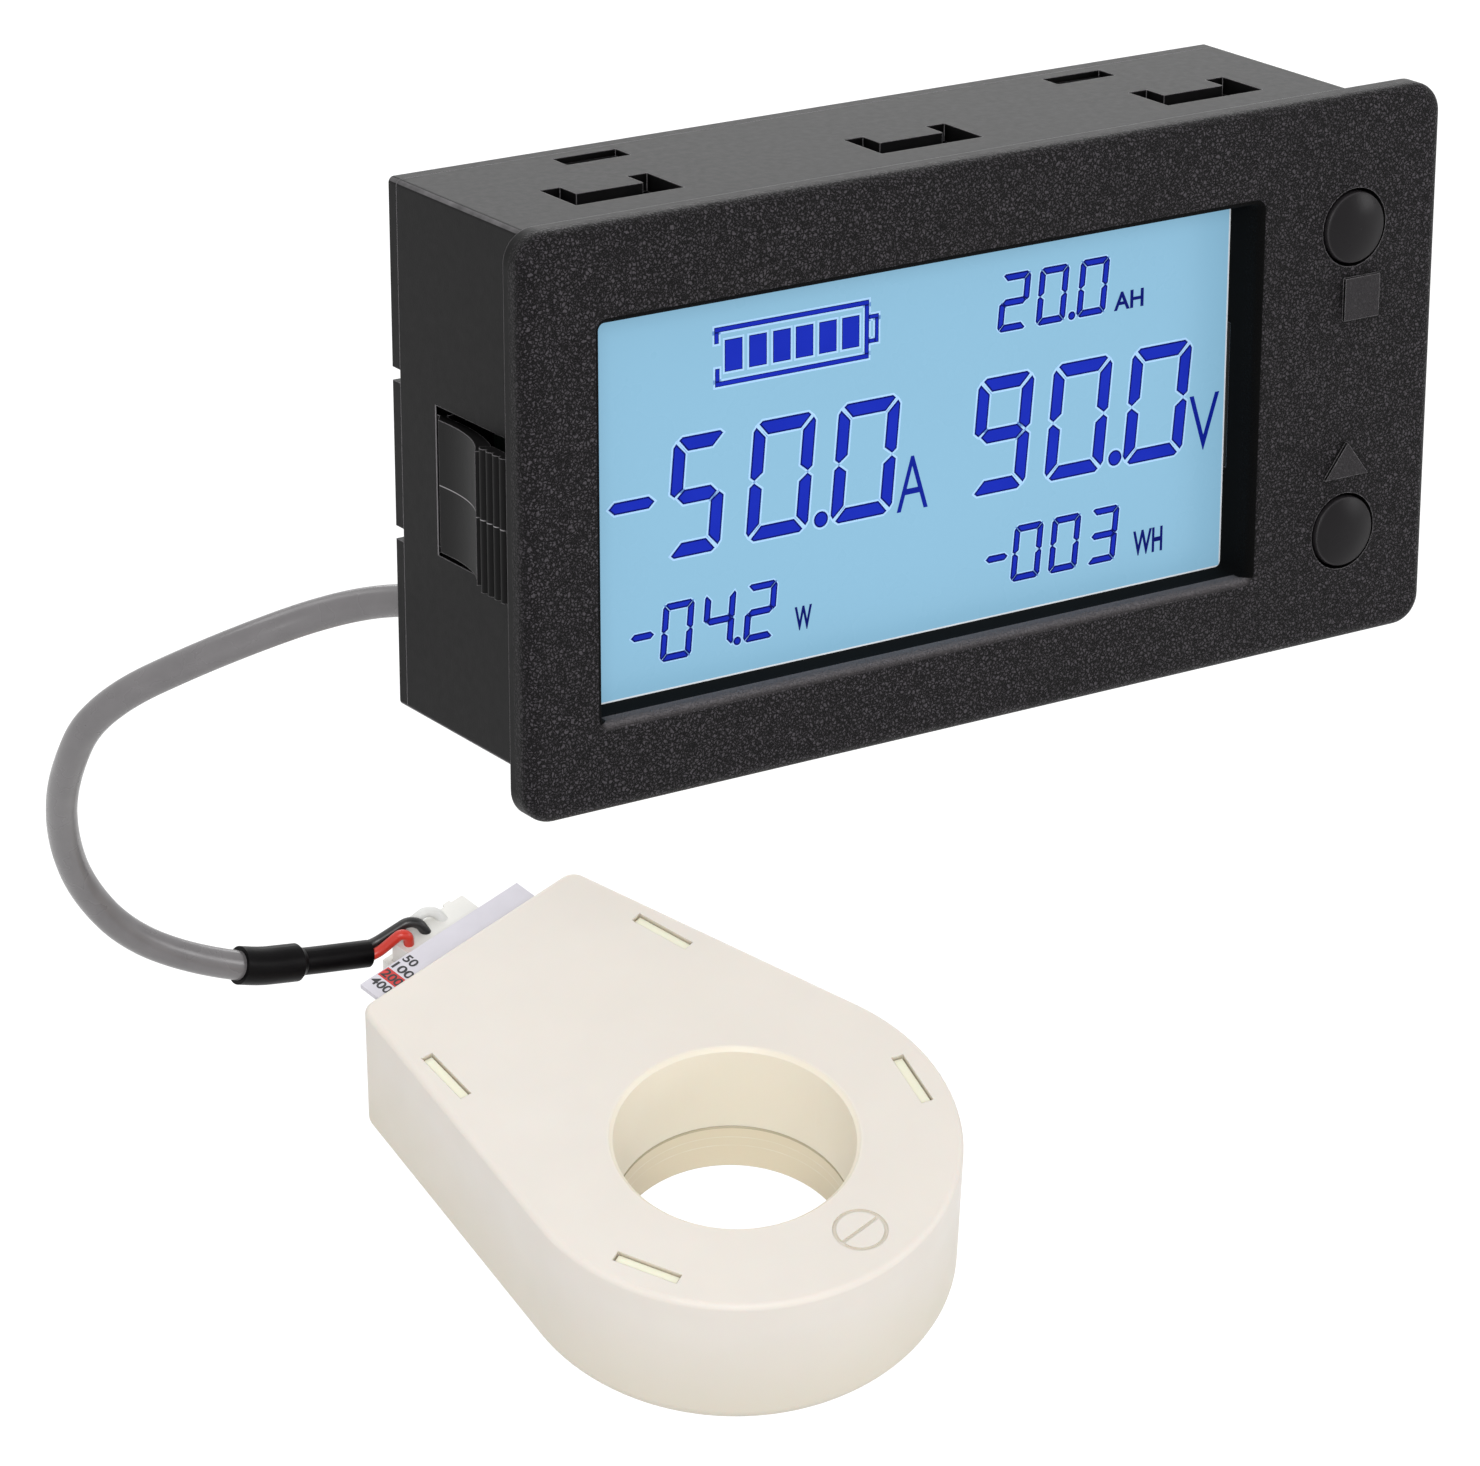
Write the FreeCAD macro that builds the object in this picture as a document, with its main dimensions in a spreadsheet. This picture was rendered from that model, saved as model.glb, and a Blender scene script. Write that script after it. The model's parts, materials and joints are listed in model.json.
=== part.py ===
import FreeCAD, Part, Sketcher
import math
import os
import re
from collections import namedtuple

# Battery monitor: a panel meter with a display and two push buttons, and a ring-shaped current
# sensor on a short lead. Millimetres. The origin is the centre of the panel seat, which is the rear
# face of the front frame. +X is to the right seen from the front, +Y goes through the panel to the
# back of the meter, +Z is up.

V = FreeCAD.Vector
doc = FreeCAD.newDocument("battery_monitor")
sheet = doc.addObject("Spreadsheet::Sheet", "sizes")

# Driving dimensions
SIZES = [
    # Front housing
    ("bezel_width", 90.0, "front frame, left to right"),
    ("bezel_height", 47.5, "front frame, bottom to top"),
    ("bezel_thick", 2.7, "front frame, in front of the panel"),
    ("bezel_corner", 2.6, "radius of the frame's four corners"),
    ("bezel_round", 1.2, "rounding of the frame's front edge"),
    ("body_width", 81.9, "box behind the panel, left to right"),
    ("body_height", 44.4, "box behind the panel, bottom to top"),
    ("body_depth", 24.0, "panel seat to the back face of the cover"),
    ("body_corner", 0.5, "radius of the box's long edges"),
    ("wall", 1.5, "front and side walls of the box"),
    ("seam_gap", 0.15, "free play between parts that slot into each other"),
    ("window_left", 3.0, "box's left side to the display window"),
    ("window_right", 15.1, "display window to the box's right side"),
    ("window_above", 6.3, "display window to the box's top"),
    ("window_below", 5.9, "box's bottom to the display window"),
    ("window_depth", 4.0, "frame's face to the display's face"),
    ("window_corner", 0.5, "radius of the window's corners"),
    ("window_lip", 0.75, "rounding of the window's front edge"),
    ("rim_wall", 0.9, "collar behind the front wall, around the window"),
    ("button_inset", 5.15, "buttons' axes to the box's right side"),
    ("button_drop", 9.6, "box's top to the upper button's axis"),
    ("button_rise", 8.3, "box's bottom to the lower button's axis"),
    ("button_hole", 3.35, "radius of the button holes"),
    ("button_gap", 0.28, "cap to hole, all round"),
    ("button_travel", 0.5, "push of a button"),
    ("guide_wall", 1.1, "wall of the guide behind each button hole"),
    ("guide_end", 1.5, "panel seat to the end of the guides"),
    ("square_side", 3.65, "raised square mark"),
    ("square_shift", 0.9, "square mark's centre, outward of the buttons' axes"),
    ("square_drop", 6.1, "square mark's centre, below the upper button's axis"),
    ("triangle_base", 4.6, "raised triangle mark"),
    ("triangle_tall", 3.0, "raised triangle mark"),
    ("triangle_rise", 4.85, "triangle mark's base line, above the lower button's axis"),
    ("mark_proud", 0.3, "height of the two marks"),
    ("post_side", 2.0, "corner posts that the main board rests on, square"),
    ("tongue_pitch", 28.9, "one U-shaped slot to the next"),
    ("tongue_shift", 0.6, "centre of the middle U-shaped slot"),
    ("tongue_front", 8.3, "panel seat to the front edge of the U-shaped slots"),
    ("tongue_width", 6.2, "tongue inside each U-shaped slot"),
    ("tongue_slot", 1.9, "arms of the U-shaped slots"),
    ("tongue_web", 3.0, "base of the U-shaped slots"),
    ("tongue_arm", 5.4, "length of the U-shaped slots"),
    ("hook_width", 4.6, "hooks inside the tongues"),
    ("hook_long", 1.6, "hooks, front to back"),
    ("hook_proud", 0.8, "hooks, inward from the wall"),
    ("latch_inset", 16.65, "rear slots and cover latches, from the box's sides"),
    ("latch_width", 6.0, "rear slots"),
    ("latch_front", 19.2, "panel seat to the front edge of the rear slots"),
    ("latch_long", 2.3, "rear slots, front to back"),
    ("clip_window_front", 0.9, "panel seat to the clip windows"),
    ("clip_window_rear", 17.2, "panel seat to the rear edge of the clip windows"),
    # Rear cover
    ("latch_bar", 1.1, "thickness of the cover's latch arms"),
    ("latch_sink", 0.5, "crest of the latch wedges, below the box's surface"),
    ("latch_flat", 0.7, "crest of the latch wedges, front to back"),
    ("latch_tip", 0.4, "slope of the latch arms' ends"),
    ("cover_thick", 1.2, "rear cover"),
    ("cover_rim", 1.2, "rim of the cover inside the box"),
    ("rim_bar", 1.0, "thickness of the rim"),
    ("notch_tall", 1.1, "notches in the cover's side edges"),
    ("notch_deep", 1.25, "notches in the cover's side edges"),
    ("notch_upper_z", 6.05, "upper notches"),
    ("notch_lower_z", -7.3, "lower notches"),
    # Side clips
    ("clip_z", -1.2, "middle of the clips"),
    ("clip_tall", 11.0, "clip's strip, bottom to top"),
    ("clip_head_tall", 11.8, "clip's ribbed head, bottom to top"),
    ("clip_play", 0.35, "window's edge to the ribbed head, up and down"),
    ("clip_sheet", 0.95, "thickness of the clips"),
    ("clip_reach", 2.45, "ribbed head, out from the side of the box"),
    ("clip_front", 2.05, "panel seat to the ribbed head"),
    ("clip_pitch", 0.99, "one rib to the next"),
    ("clip_rib", 0.36, "height of the ribs"),
    ("clip_nose", 0.7, "flat front end of the ribbed head"),
    ("clip_out", 0.62, "strip's outer face at its root, out from the side of the box"),
    ("clip_knee_out", 1.15, "strip's outer face at its knee, out from the side of the box"),
    ("clip_knee", 2.9, "ribbed head to the knee"),
    ("clip_crest", 0.3, "back face to the middle of the bow's top"),
    ("clip_bend_lag", 0.4, "inner face's bend in front of the outer one's"),
    ("clip_knee_lag", 0.7, "inner face's bow in front of the outer one's"),
    ("clip_crest_lag", 0.9, "inner face's top in front of the outer one's"),
    ("clip_swell", 0.2, "strip's thickening at the top of the bow"),
    ("clip_toe_front", 0.2, "foot in the side wall"),
    ("clip_toe_rear", 0.1, "foot in the side wall"),
    ("clip_toe_out", 0.35, "foot in the side wall"),
    ("clip_bend", 5.6, "ribbed head to the start of the bend"),
    ("clip_barrel", 0.7, "radius of the rolled root of each clip"),
    ("barrel_gap", 0.05, "root of the clip to its seat"),
    # Display
    ("polarizer_thick", 0.2, "display's front film"),
    ("film_inset", 0.3, "front film inside the cell's edges"),
    ("film_ledge", 0.8, "front film above the cell's lower edge"),
    ("glass_thick", 2.2, "display cell"),
    ("glass_step", 1.4, "contact edge that the cell's rear glass leaves free"),
    ("glass_margin", 0.9, "display cell beyond the window, left and right"),
    ("glass_ledge", 2.8, "display cell, both edges beyond the window"),
    ("guide_thick", 3.0, "light guide"),
    ("guide_corner", 0.4, "radius of the light guide's corners"),
    ("holder_wall", 1.1, "frame that holds the display"),
    ("holder_floor", 0.8, "reflector behind the light guide"),
    ("pin_pitch", 2.54, "display pins"),
    ("pin_side", 0.4, "display pins, square"),
    # Main board and what is soldered to it
    ("board_front", 9.7, "panel seat to the board's front face"),
    ("board_thick", 1.6, "main board"),
    ("board_gap", 0.2, "main board to the walls"),
    ("board_corner", 1.0, "radius of the board's corners"),
    ("leg_pitch", 1.2, "chips' legs"),
    ("leg_wide", 0.4, "chips' legs"),
    ("leg_thick", 0.2, "chips' legs"),
    ("chip_bevel", 0.3, "bevel of the chips' corners"),
    ("controller_x", -7.0, "microcontroller's centre"),
    ("controller_z", 2.0, "microcontroller's centre"),
    ("controller_wide", 10.0, "microcontroller"),
    ("controller_deep", 10.0, "microcontroller"),
    ("controller_tall", 1.4, "microcontroller"),
    ("controller_span", 13.0, "microcontroller, over its legs"),
    ("memory_x", -24.5, "memory chip's centre"),
    ("memory_z", 8.0, "memory chip's centre"),
    ("memory_wide", 4.0, "memory chip"),
    ("memory_deep", 4.9, "memory chip"),
    ("memory_tall", 1.4, "memory chip"),
    ("memory_span", 6.0, "memory chip, over its legs"),
    ("regulator_x", 7.3, "voltage regulator's centre"),
    ("regulator_z", 12.8, "voltage regulator's centre"),
    ("regulator_wide", 6.6, "voltage regulator"),
    ("regulator_deep", 3.6, "voltage regulator"),
    ("regulator_tall", 1.6, "voltage regulator"),
    ("tab_wide", 3.2, "voltage regulator's tab"),
    ("tab_long", 6.4, "voltage regulator's tab"),
    ("tab_thick", 0.4, "voltage regulator's tab"),
    ("can_radius", 3.15, "filter capacitors"),
    ("can_tall", 7.5, "filter capacitors, off the board"),
    ("can_gap", 0.6, "filter capacitors to each other and to the wall"),
    ("can_x", 8.0, "filter capacitors' axes"),
    ("can_bevel", 0.4, "bevel at the capacitors' ends"),
    ("header_inset", 4.95, "box's left side to the lead's header"),
    ("header_rise", 5.7, "box's bottom to the lead's header"),
    ("header_wide", 8.0, "lead's header"),
    ("header_tall", 5.0, "lead's header"),
    ("header_deep", 6.0, "lead's header, off the board"),
    ("header_wall", 0.6, "lead's header"),
    ("header_floor", 2.0, "lead's header"),
    # Push buttons
    ("button_proud", 0.3, "cap's rim in front of the frame"),
    ("button_dome", 0.45, "height of the cap's dome"),
    ("cap_round", 0.35, "rounding of the cap's rim, as two flats"),
    ("cap_skirt", 0.9, "cap's skirt behind its guide"),
    ("cap_stem", 1.6, "radius of the cap's stem"),
    ("keeper_wide", 2.0, "keepers that hold the cap behind its guide"),
    ("keeper_thick", 0.8, "keepers"),
    ("keeper_proud", 0.85, "keepers beyond the button hole"),
    ("keeper_gap", 0.1, "keepers to the guide"),
    ("switch_side", 6.2, "push switch, square"),
    ("switch_tall", 3.5, "push switch, off the board"),
    ("switch_bevel", 0.5, "bevel of the push switch's corners"),
    ("plunger_radius", 1.7, "push switch's plunger"),
    ("plunger_proud", 1.0, "plunger in front of its switch"),
    ("plunger_root", 1.4, "plunger inside its switch"),
    ("plunger_play", 0.2, "bottom of the plunger's bore to the pushed plunger"),
    ("running_gap", 0.05, "shaft to bore of moving parts"),
    # Screw terminal
    ("terminal_inset", 20.75, "box's right side to the centre of the screw terminal"),
    ("pole_pitch", 5.08, "one terminal pole to the next"),
    ("terminal_rear", 31.5, "panel seat to the rear face of the terminal plug"),
    ("terminal_low", -4.3, "bottom of the terminal plug"),
    ("terminal_high", 5.0, "top of the terminal plug"),
    ("terminal_wall", 0.7, "side walls of the terminal's header"),
    ("terminal_floor", 0.6, "upper and lower wall of the terminal's header"),
    ("terminal_seat", 2.0, "base of the terminal's header"),
    ("terminal_key", 0.9, "step in the top of the terminal plug"),
    ("terminal_gap", 0.3, "cover to the step of the terminal plug"),
    ("terminal_bevel", 0.5, "bevel along the terminal plug's upper rear edge"),
    ("entry_radius", 1.2, "wire entries"),
    ("entry_z", -1.9, "wire entries"),
    ("cage_wide", 4.0, "chambers of the wire clamps"),
    ("cage_deep", 4.4, "chambers of the wire clamps"),
    ("cage_tall", 6.4, "chambers of the wire clamps"),
    ("cage_low", -4.0, "bottom of the chambers"),
    ("well_gap", 0.12, "screw heads to their wells"),
    ("well_low", 2.3, "bottom of the screw wells"),
    ("screw_y", 26.9, "panel seat to the screws' axes"),
    ("screw_low", 0.0, "end of the screws' shanks"),
    ("screw_seat", 2.6, "underside of the screw heads"),
    ("screw_head", 1.7, "radius of the screw heads"),
    ("screw_head_tall", 1.3, "screw heads"),
    ("screw_bevel", 0.2, "bevel of the screw heads"),
    ("screw_shank", 1.0, "radius of the screws' shanks"),
    ("screw_slot", 0.5, "width of the screw slots"),
    ("screw_slot_deep", 0.6, "depth of the screw slots"),
    ("clamp_wide", 3.7, "wire clamps"),
    ("clamp_deep", 3.9, "wire clamps"),
    ("clamp_tall", 5.1, "wire clamps"),
    ("clamp_low", -3.9, "bottom of the wire clamps, screws open"),
    ("clamp_side", 0.4, "side walls of the wire clamps"),
    ("clamp_floor", 0.8, "floor of the wire clamps"),
    ("clamp_roof", 1.0, "roof of the wire clamps, with the thread"),
    ("contact_wide", 2.6, "contact bars"),
    ("contact_thick", 0.5, "contact bars"),
    ("contact_z", -0.6, "underside of the contact bars"),
    ("contact_front", 14.9, "panel seat to the front ends of the contact bars"),
    ("contact_rear", 28.8, "panel seat to the rear ends of the contact bars"),
    # Lead
    ("lead_inset", 8.95, "box's left side to the lead's outlet"),
    ("lead_rise", 5.2, "box's bottom to the lead's outlet"),
    ("grommet_neck", 2.6, "radius of the grommet in the cover"),
    ("grommet_flange", 3.2, "radius of the grommet's flanges"),
    ("grommet_inner", 1.0, "grommet's inner flange"),
    ("grommet_outer", 0.6, "grommet's outer flange"),
    ("grommet_nose", 2.2, "radius of the grommet's rear end"),
    ("grommet_proud", 2.0, "grommet behind the cover"),
    ("lead_radius", 1.4, "grey lead"),
    ("sleeve_radius", 1.8, "thick shrink sleeve"),
    ("thin_sleeve_radius", 1.3, "thin shrink sleeve"),
    ("wire_radius", 0.5, "insulated wires"),
    # Sensor
    ("sensor_x", -1.8, "centre of the sensor's bore, top face"),
    ("sensor_y", 33.6, "centre of the sensor's bore, top face"),
    ("sensor_z", -74.3, "centre of the sensor's bore, top face"),
    ("sensor_yaw", 13.4, "degrees, about the upright axis"),
    ("sensor_pitch", 16.0, "degrees, plug end up"),
    ("sensor_roll", -15.0, "degrees, left side down"),
    ("sensor_bore", 11.0, "radius of the sensor's bore"),
    ("sensor_end", 20.6, "radius of the sensor's round end"),
    ("sensor_rear", 35.5, "bore's axis to the rear edge"),
    ("sensor_rear_half", 13.4, "half of the width at the rear edge"),
    ("sensor_thick", 15.4, "sensor, top to bottom"),
    ("sensor_wall", 1.0, "sensor's side wall"),
    ("sensor_top", 1.6, "sensor's top and bottom walls"),
    ("sensor_corner", 1.6, "radius of the sensor's upright corners"),
    ("sensor_edge", 0.6, "rounding of the sensor's upper edge"),
    ("sensor_foot", 1.5, "rounding of the sensor's lower edge"),
    ("bore_wall", 1.2, "wall of the bore tube"),
    ("bore_joint", 10.1, "top face to the joint in the bore"),
    ("bore_rim", 0.4, "bevel of the bore's upper edge"),
    ("bore_bevel", 0.3, "bevel of the bore at its joint"),
    ("hatch_long", 6.3, "latch slots in the sensor's top"),
    ("hatch_wide", 1.2, "latch slots in the sensor's top"),
    ("hatch_lean", 8.0, "degrees, rear pair of latch slots"),
    ("hatch_rear_y", 23.5, "bore's axis to the rear pair of latch slots"),
    ("hatch_rear_inset", 2.292, "rear pair of latch slots, inside the sensor's sides"),
    ("hatch_front_turn", 19.71, "degrees, front pair of latch slots before the bore's axis"),
    ("hatch_front_inset", 2.808, "front pair of latch slots, inside the round end"),
    ("hatch_sink", 0.35, "latch legs below the top face"),
    ("sign_radius", 2.5, "polarity mark's ring, outer radius"),
    ("sign_line", 0.35, "polarity mark's lines"),
    ("sign_deep", 0.15, "depth of the polarity mark"),
    ("rear_opening", 8.0, "opening in the sensor's rear wall, top to bottom"),
    ("core_inset", 4, "round end of the sensor to the magnetic core"),
    ("core_tall", 8.4, "magnetic core, top to bottom"),
    ("core_top", 2.6, "top face to the magnetic core"),
    ("core_gap", 2.4, "gap in the magnetic core"),
    ("core_play", 0.3, "bore tube to the magnetic core"),
    ("seat_play", 0.5, "bore tube to the core's seat"),
    ("seat_step", 0.6, "core's seat inside the core's edge"),
    ("hall_play", 0.3, "core to the hall element"),
    ("hall_gap", 0.9, "bore tube to the hall element"),
    ("hall_deep", 3.6, "hall element"),
    ("hall_tall", 3.2, "hall element"),
    ("hall_leg", 0.4, "hall element's legs, square"),
    ("hall_leg_long", 3.3, "hall element's legs"),
    ("hall_leg_pitch", 0.6, "hall element's legs"),
    ("sensor_board_z", -8.0, "top of the sensor board"),
    ("sensor_board_thick", 1.2, "sensor board"),
    ("sensor_board_wide", 23.6, "sensor board"),
    ("board_core_gap", 1.4, "magnetic core to the sensor board"),
    ("sensor_board_rear", 34.0, "sensor board, beside its tongue"),
    ("tongue_left", -4.8, "sensor board's tongue"),
    ("tongue_right", 5.8, "sensor board's tongue"),
    ("tongue_board", 7.0, "sensor board's tongue behind the rear edge"),
    ("stud_radius", 1.2, "studs under the sensor board"),
    ("stud_x", 7.0, "studs under the sensor board"),
    ("stud_y", 24.0, "studs under the sensor board"),
    ("amplifier_wide", 5.0, "amplifier chip"),
    ("amplifier_deep", 4.0, "amplifier chip"),
    ("amplifier_tall", 1.6, "amplifier chip"),
    ("amplifier_y", 23.5, "amplifier chip's centre"),
    ("trimmer_x", 7.0, "trimmers' centres"),
    ("trimmer_y", 23.0, "trimmers' centres"),
    ("trimmer_wide", 4.6, "trimmers"),
    ("trimmer_deep", 5.0, "trimmers"),
    ("trimmer_tall", 3.6, "trimmers"),
    ("wheel_radius", 1.5, "trimmers' wheels"),
    ("wheel_tall", 0.6, "trimmers' wheels"),
    ("wheel_slot", 0.5, "slots in the trimmers' wheels"),
    # Connector
    ("strip_width", 19.8, "label strip"),
    ("strip_x", -0.5, "label strip's centre"),
    ("strip_thick", 0.5, "label strip"),
    ("strip_proud", 3.4, "label strip behind the rear edge"),
    ("strip_root", 4.0, "label strip inside the sensor"),
    ("strip_play", 0.4, "rear opening beside the label strip"),
    ("plug_left", -3.8, "plug on the sensor board"),
    ("plug_wide", 9.0, "plug on the sensor board"),
    ("plug_front", 39.0, "bore's axis to the plug"),
    ("plug_deep", 3.0, "plug, front to back"),
    ("plug_top", -2.6, "top of the plug"),
    ("plug_corner", 0.2, "radius of the plug's corners"),
    ("plug_rib", 0.8, "width of the plug's ribs"),
    ("plug_rib_proud", 0.3, "plug's ribs"),
    ("plug_rib_tall", 2.0, "plug's ribs"),
    ("plug_rib_shift", 2.7, "plug's ribs, from its middle"),
    ("wafer_wall", 0.6, "wafer around the plug"),
    ("wafer_tall", 2.9, "wafer"),
    ("wafer_floor", 0.7, "wafer"),
    ("plug_play", 0.05, "plug to the wafer"),
]

# Dimensions that follow from the driving ones
DERIVED = [
    ("skin_back", "wall - bezel_thick", "inner face of the front wall"),
    ("cover_face", "body_depth - cover_thick", "inner face of the cover"),
    ("inner_width", "body_width - 2 * wall", "inside of the box"),
    ("inner_height", "body_height - 2 * wall", "inside of the box"),
    ("window_width", "body_width - window_left - window_right", "display window"),
    ("window_height", "body_height - window_above - window_below", "display window"),
    ("window_x", "(window_left - window_right) / 2", "centre of the display window"),
    ("window_z", "(window_below - window_above) / 2", "centre of the display window"),
    ("button_x", "body_width / 2 - button_inset", "both buttons' axes"),
    ("button_upper_z", "body_height / 2 - button_drop", "upper button's axis"),
    ("button_lower_z", "button_rise - body_height / 2", "lower button's axis"),
    ("square_x", "button_x + square_shift", "centre of the square mark"),
    ("square_z", "button_upper_z - square_drop", "centre of the square mark"),
    ("triangle_z", "button_lower_z + triangle_rise", "base line of the triangle mark"),
    ("tongue_x", "tongue_shift - tongue_pitch", "centre of the left U-shaped slot"),
    ("tongue_inner", "tongue_width / 2", "inner sides of a U-shaped slot, from its centre"),
    ("tongue_outer", "tongue_width / 2 + tongue_slot", "outer sides of a U-shaped slot"),
    ("latch_x", "body_width / 2 - latch_inset", "rear slots and cover latches"),
    ("barrel_x", "body_width / 2 - wall / 2", "rolled roots of the clips"),
    ("clip_window_tall", "clip_head_tall + 2 * clip_play", "clip windows, bottom to top"),
    ("rim_width", "inner_width - 2 * seam_gap", "rim of the cover"),
    ("rim_height", "inner_height - 2 * seam_gap", "rim of the cover"),
    ("display_face", "window_depth - bezel_thick", "front of the display"),
    ("glass_face", "display_face + polarizer_thick", "front of the display cell"),
    ("holder_face", "glass_face + glass_thick", "back of the display cell"),
    ("cell_width", "window_width + 2 * glass_margin", "display cell"),
    ("cell_height", "window_height + glass_ledge", "display cell"),
    ("cell_low", "window_z - cell_height / 2", "lower edge of the display cell"),
    ("board_back", "board_front + board_thick", "back of the main board"),
    ("switch_front", "board_front - switch_tall", "front of the push switches"),
    ("plunger_front", "switch_front - plunger_proud", "front of the plungers"),
    ("terminal_x", "body_width / 2 - terminal_inset", "centre of the screw terminal"),
    ("terminal_base", "board_back + terminal_seat", "front end of the terminal plug"),
    ("terminal_tall", "terminal_high - terminal_low", "terminal plug, bottom to top"),
    ("pole_x", "terminal_x - pole_pitch / 2", "first terminal pole"),
    ("lead_x", "lead_inset - body_width / 2", "lead's outlet"),
    ("lead_z", "lead_rise - body_height / 2", "lead's outlet"),
    ("header_x", "header_inset - body_width / 2", "left side of the lead's header"),
    ("header_z", "header_rise - body_height / 2", "bottom of the lead's header"),
    ("can_z", "can_radius + can_gap - inner_height / 2", "lower filter capacitor's axis"),
    ("tube_radius", "sensor_bore + bore_wall", "outside of the bore tube"),
    ("core_outer", "sensor_end - core_inset", "magnetic core, outer radius"),
    ("sensor_board_front", "core_outer + board_core_gap", "front edge of the sensor board"),
    ("core_low", "-(core_top + core_tall)", "bottom of the magnetic core"),
    ("hall_y", "tube_radius + hall_gap", "front of the hall element"),
    ("tongue_end", "sensor_rear + tongue_board", "end of the sensor board's tongue"),
    ("board_low", "sensor_board_z - sensor_board_thick", "underside of the sensor board"),
    ("plug_low", "sensor_board_z + wafer_floor", "bottom of the plug"),
]


def fill_sheet():
    derived = [(alias, "=" + formula, note) for alias, formula, note in DERIVED]
    for row, (alias, entry, note) in enumerate(SIZES + derived, start=1):
        sheet.set("A%d" % row, note)
        sheet.set("B%d" % row, str(entry))
        sheet.setAlias("B%d" % row, alias)
    doc.recompute()


fill_sheet()
NAMES = {row[0] for row in SIZES + DERIVED}
BOTH = (-1, 1)


def size(alias):
    return float(sheet.get(alias))


def bound(text):
    """A formula over the sheet's names, as the document's expressions want it."""
    formula = re.sub(r"[a-z][a-z_]+", lambda m: "sizes." + m[0] if m[0] in NAMES else m[0], str(text))
    return "(" + formula + ") * 1 mm"


# Small helpers: bodies, and sketches whose corners and radii are formulas over the sheet
Round = namedtuple("Round", "x y radius")


def new_body(name):
    body = doc.addObject("PartDesign::Body", name)
    body.Label = name
    return body


def bind(feature, **formulas):
    for prop, formula in formulas.items():
        feature.setExpression(prop.replace("__", "."), bound(formula))


def rectangle(x, y, width, height):
    """Corners of a rectangle from its lowest corner."""
    right = "%s + (%s)" % (x, width)
    top = "%s + (%s)" % (y, height)
    return [(x, y), (right, y), (right, top), (x, top)]


def centred(x, y, width, height):
    """Corners of a rectangle about its middle."""
    return rectangle("%s - (%s) / 2" % (x, width), "%s - (%s) / 2" % (y, height), width, height)


def origin_part(body, role):
    return next(part for part in body.Origin.OriginFeatures if part.Role == role)


def sketch_on(body, role, edges, offset="0"):
    """A sketch of ready edges on one of the body's own planes, moved along its normal."""
    sketch = body.newObject("Sketcher::SketchObject", "Outline")
    sketch.AttachmentSupport = (origin_part(body, role), [""])
    sketch.MapMode = "FlatFace"
    sketch.setExpression("AttachmentOffset.Base.z", bound(offset))
    sketch.addGeometry(edges, False)
    return sketch


def drive(sketch, kind, *ends, formula):
    """A dimension of the sketch that follows a formula over the sheet."""
    number = sketch.addConstraint(Sketcher.Constraint(kind, *ends, 1.0))
    sketch.setExpression("Constraints[%d]" % number, bound(formula))


def add_polygon(sketch, corners):
    first = sketch.GeometryCount
    count = len(corners)
    turns = [2 * math.pi * i / count for i in range(count)]
    sketch.addGeometry(polygon([(math.cos(turn), math.sin(turn)) for turn in turns]), False)
    for i, (x, y) in enumerate(corners):
        sketch.addConstraint(Sketcher.Constraint("Coincident", first + i, 2, first + (i + 1) % count, 1))
        drive(sketch, "DistanceX", -1, 1, first + i, 1, formula=x)
        drive(sketch, "DistanceY", -1, 1, first + i, 1, formula=y)


def add_circle(sketch, circle):
    number = sketch.addGeometry(Part.Circle(V(1, 1, 0), V(0, 0, 1), 1), False)
    drive(sketch, "DistanceX", -1, 1, number, 3, formula=circle.x)
    drive(sketch, "DistanceY", -1, 1, number, 3, formula=circle.y)
    drive(sketch, "Radius", number, formula=circle.radius)


def outline(body, role, loops, offset="0"):
    """A sketch of polygons and circles; its plane is moved along its normal."""
    sketch = sketch_on(body, role, [], offset)
    for loop in loops:
        if isinstance(loop, Round):
            add_circle(sketch, loop)
        else:
            add_polygon(sketch, loop)
    return sketch


def facing(body, loops, y):
    """A sketch seen from the front, y behind the panel seat."""
    return outline(body, "XZ_Plane", loops, "-(%s)" % y)


def polygon(points):
    ends = points[1:] + points[:1]
    return [Part.LineSegment(V(*a, 0), V(*b, 0)) for a, b in zip(points, ends)]


# Features: pads, pockets, turned parts, rounded edges, shells, rows and mirror images
def extruded(body, kind, sketch, length, middle, back):
    feature = body.newObject("PartDesign::" + kind, kind)
    feature.Profile = sketch
    bind(feature, Length=length)
    feature.Midplane = middle
    feature.Reversed = back
    feature.Refine = True
    return feature


def pad(body, sketch, length, middle=False, back=False):
    return extruded(body, "Pad", sketch, length, middle, back)


def pocket(body, sketch, length, middle=False):
    return extruded(body, "Pocket", sketch, length, middle, False)


def slab(body, loops, y, depth):
    """A pad from y towards the back."""
    return pad(body, facing(body, loops, y), depth, back=True)


def opening(body, loops, y, depth):
    """A pocket from y towards the back."""
    return pocket(body, facing(body, loops, y), depth)


def turned(body, sketch):
    """A solid of revolution about the sketch's upright axis."""
    feature = body.newObject("PartDesign::Revolution", "Turned")
    feature.Profile = sketch
    feature.ReferenceAxis = (sketch, ["V_Axis"])
    feature.Angle = 360
    return feature


def rounded(body, radius, chosen, kind="Fillet"):
    """Rounds the edges of the body's latest feature that the test chosen picks."""
    doc.recompute()
    tip = body.Tip
    names = ["Edge%d" % (i + 1) for i, edge in enumerate(tip.Shape.Edges) if chosen(edge)]
    feature = body.newObject("PartDesign::" + kind, kind)
    feature.Base = (tip, names)
    bind(feature, **{"Radius" if kind == "Fillet" else "Size": radius})
    return feature


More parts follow.
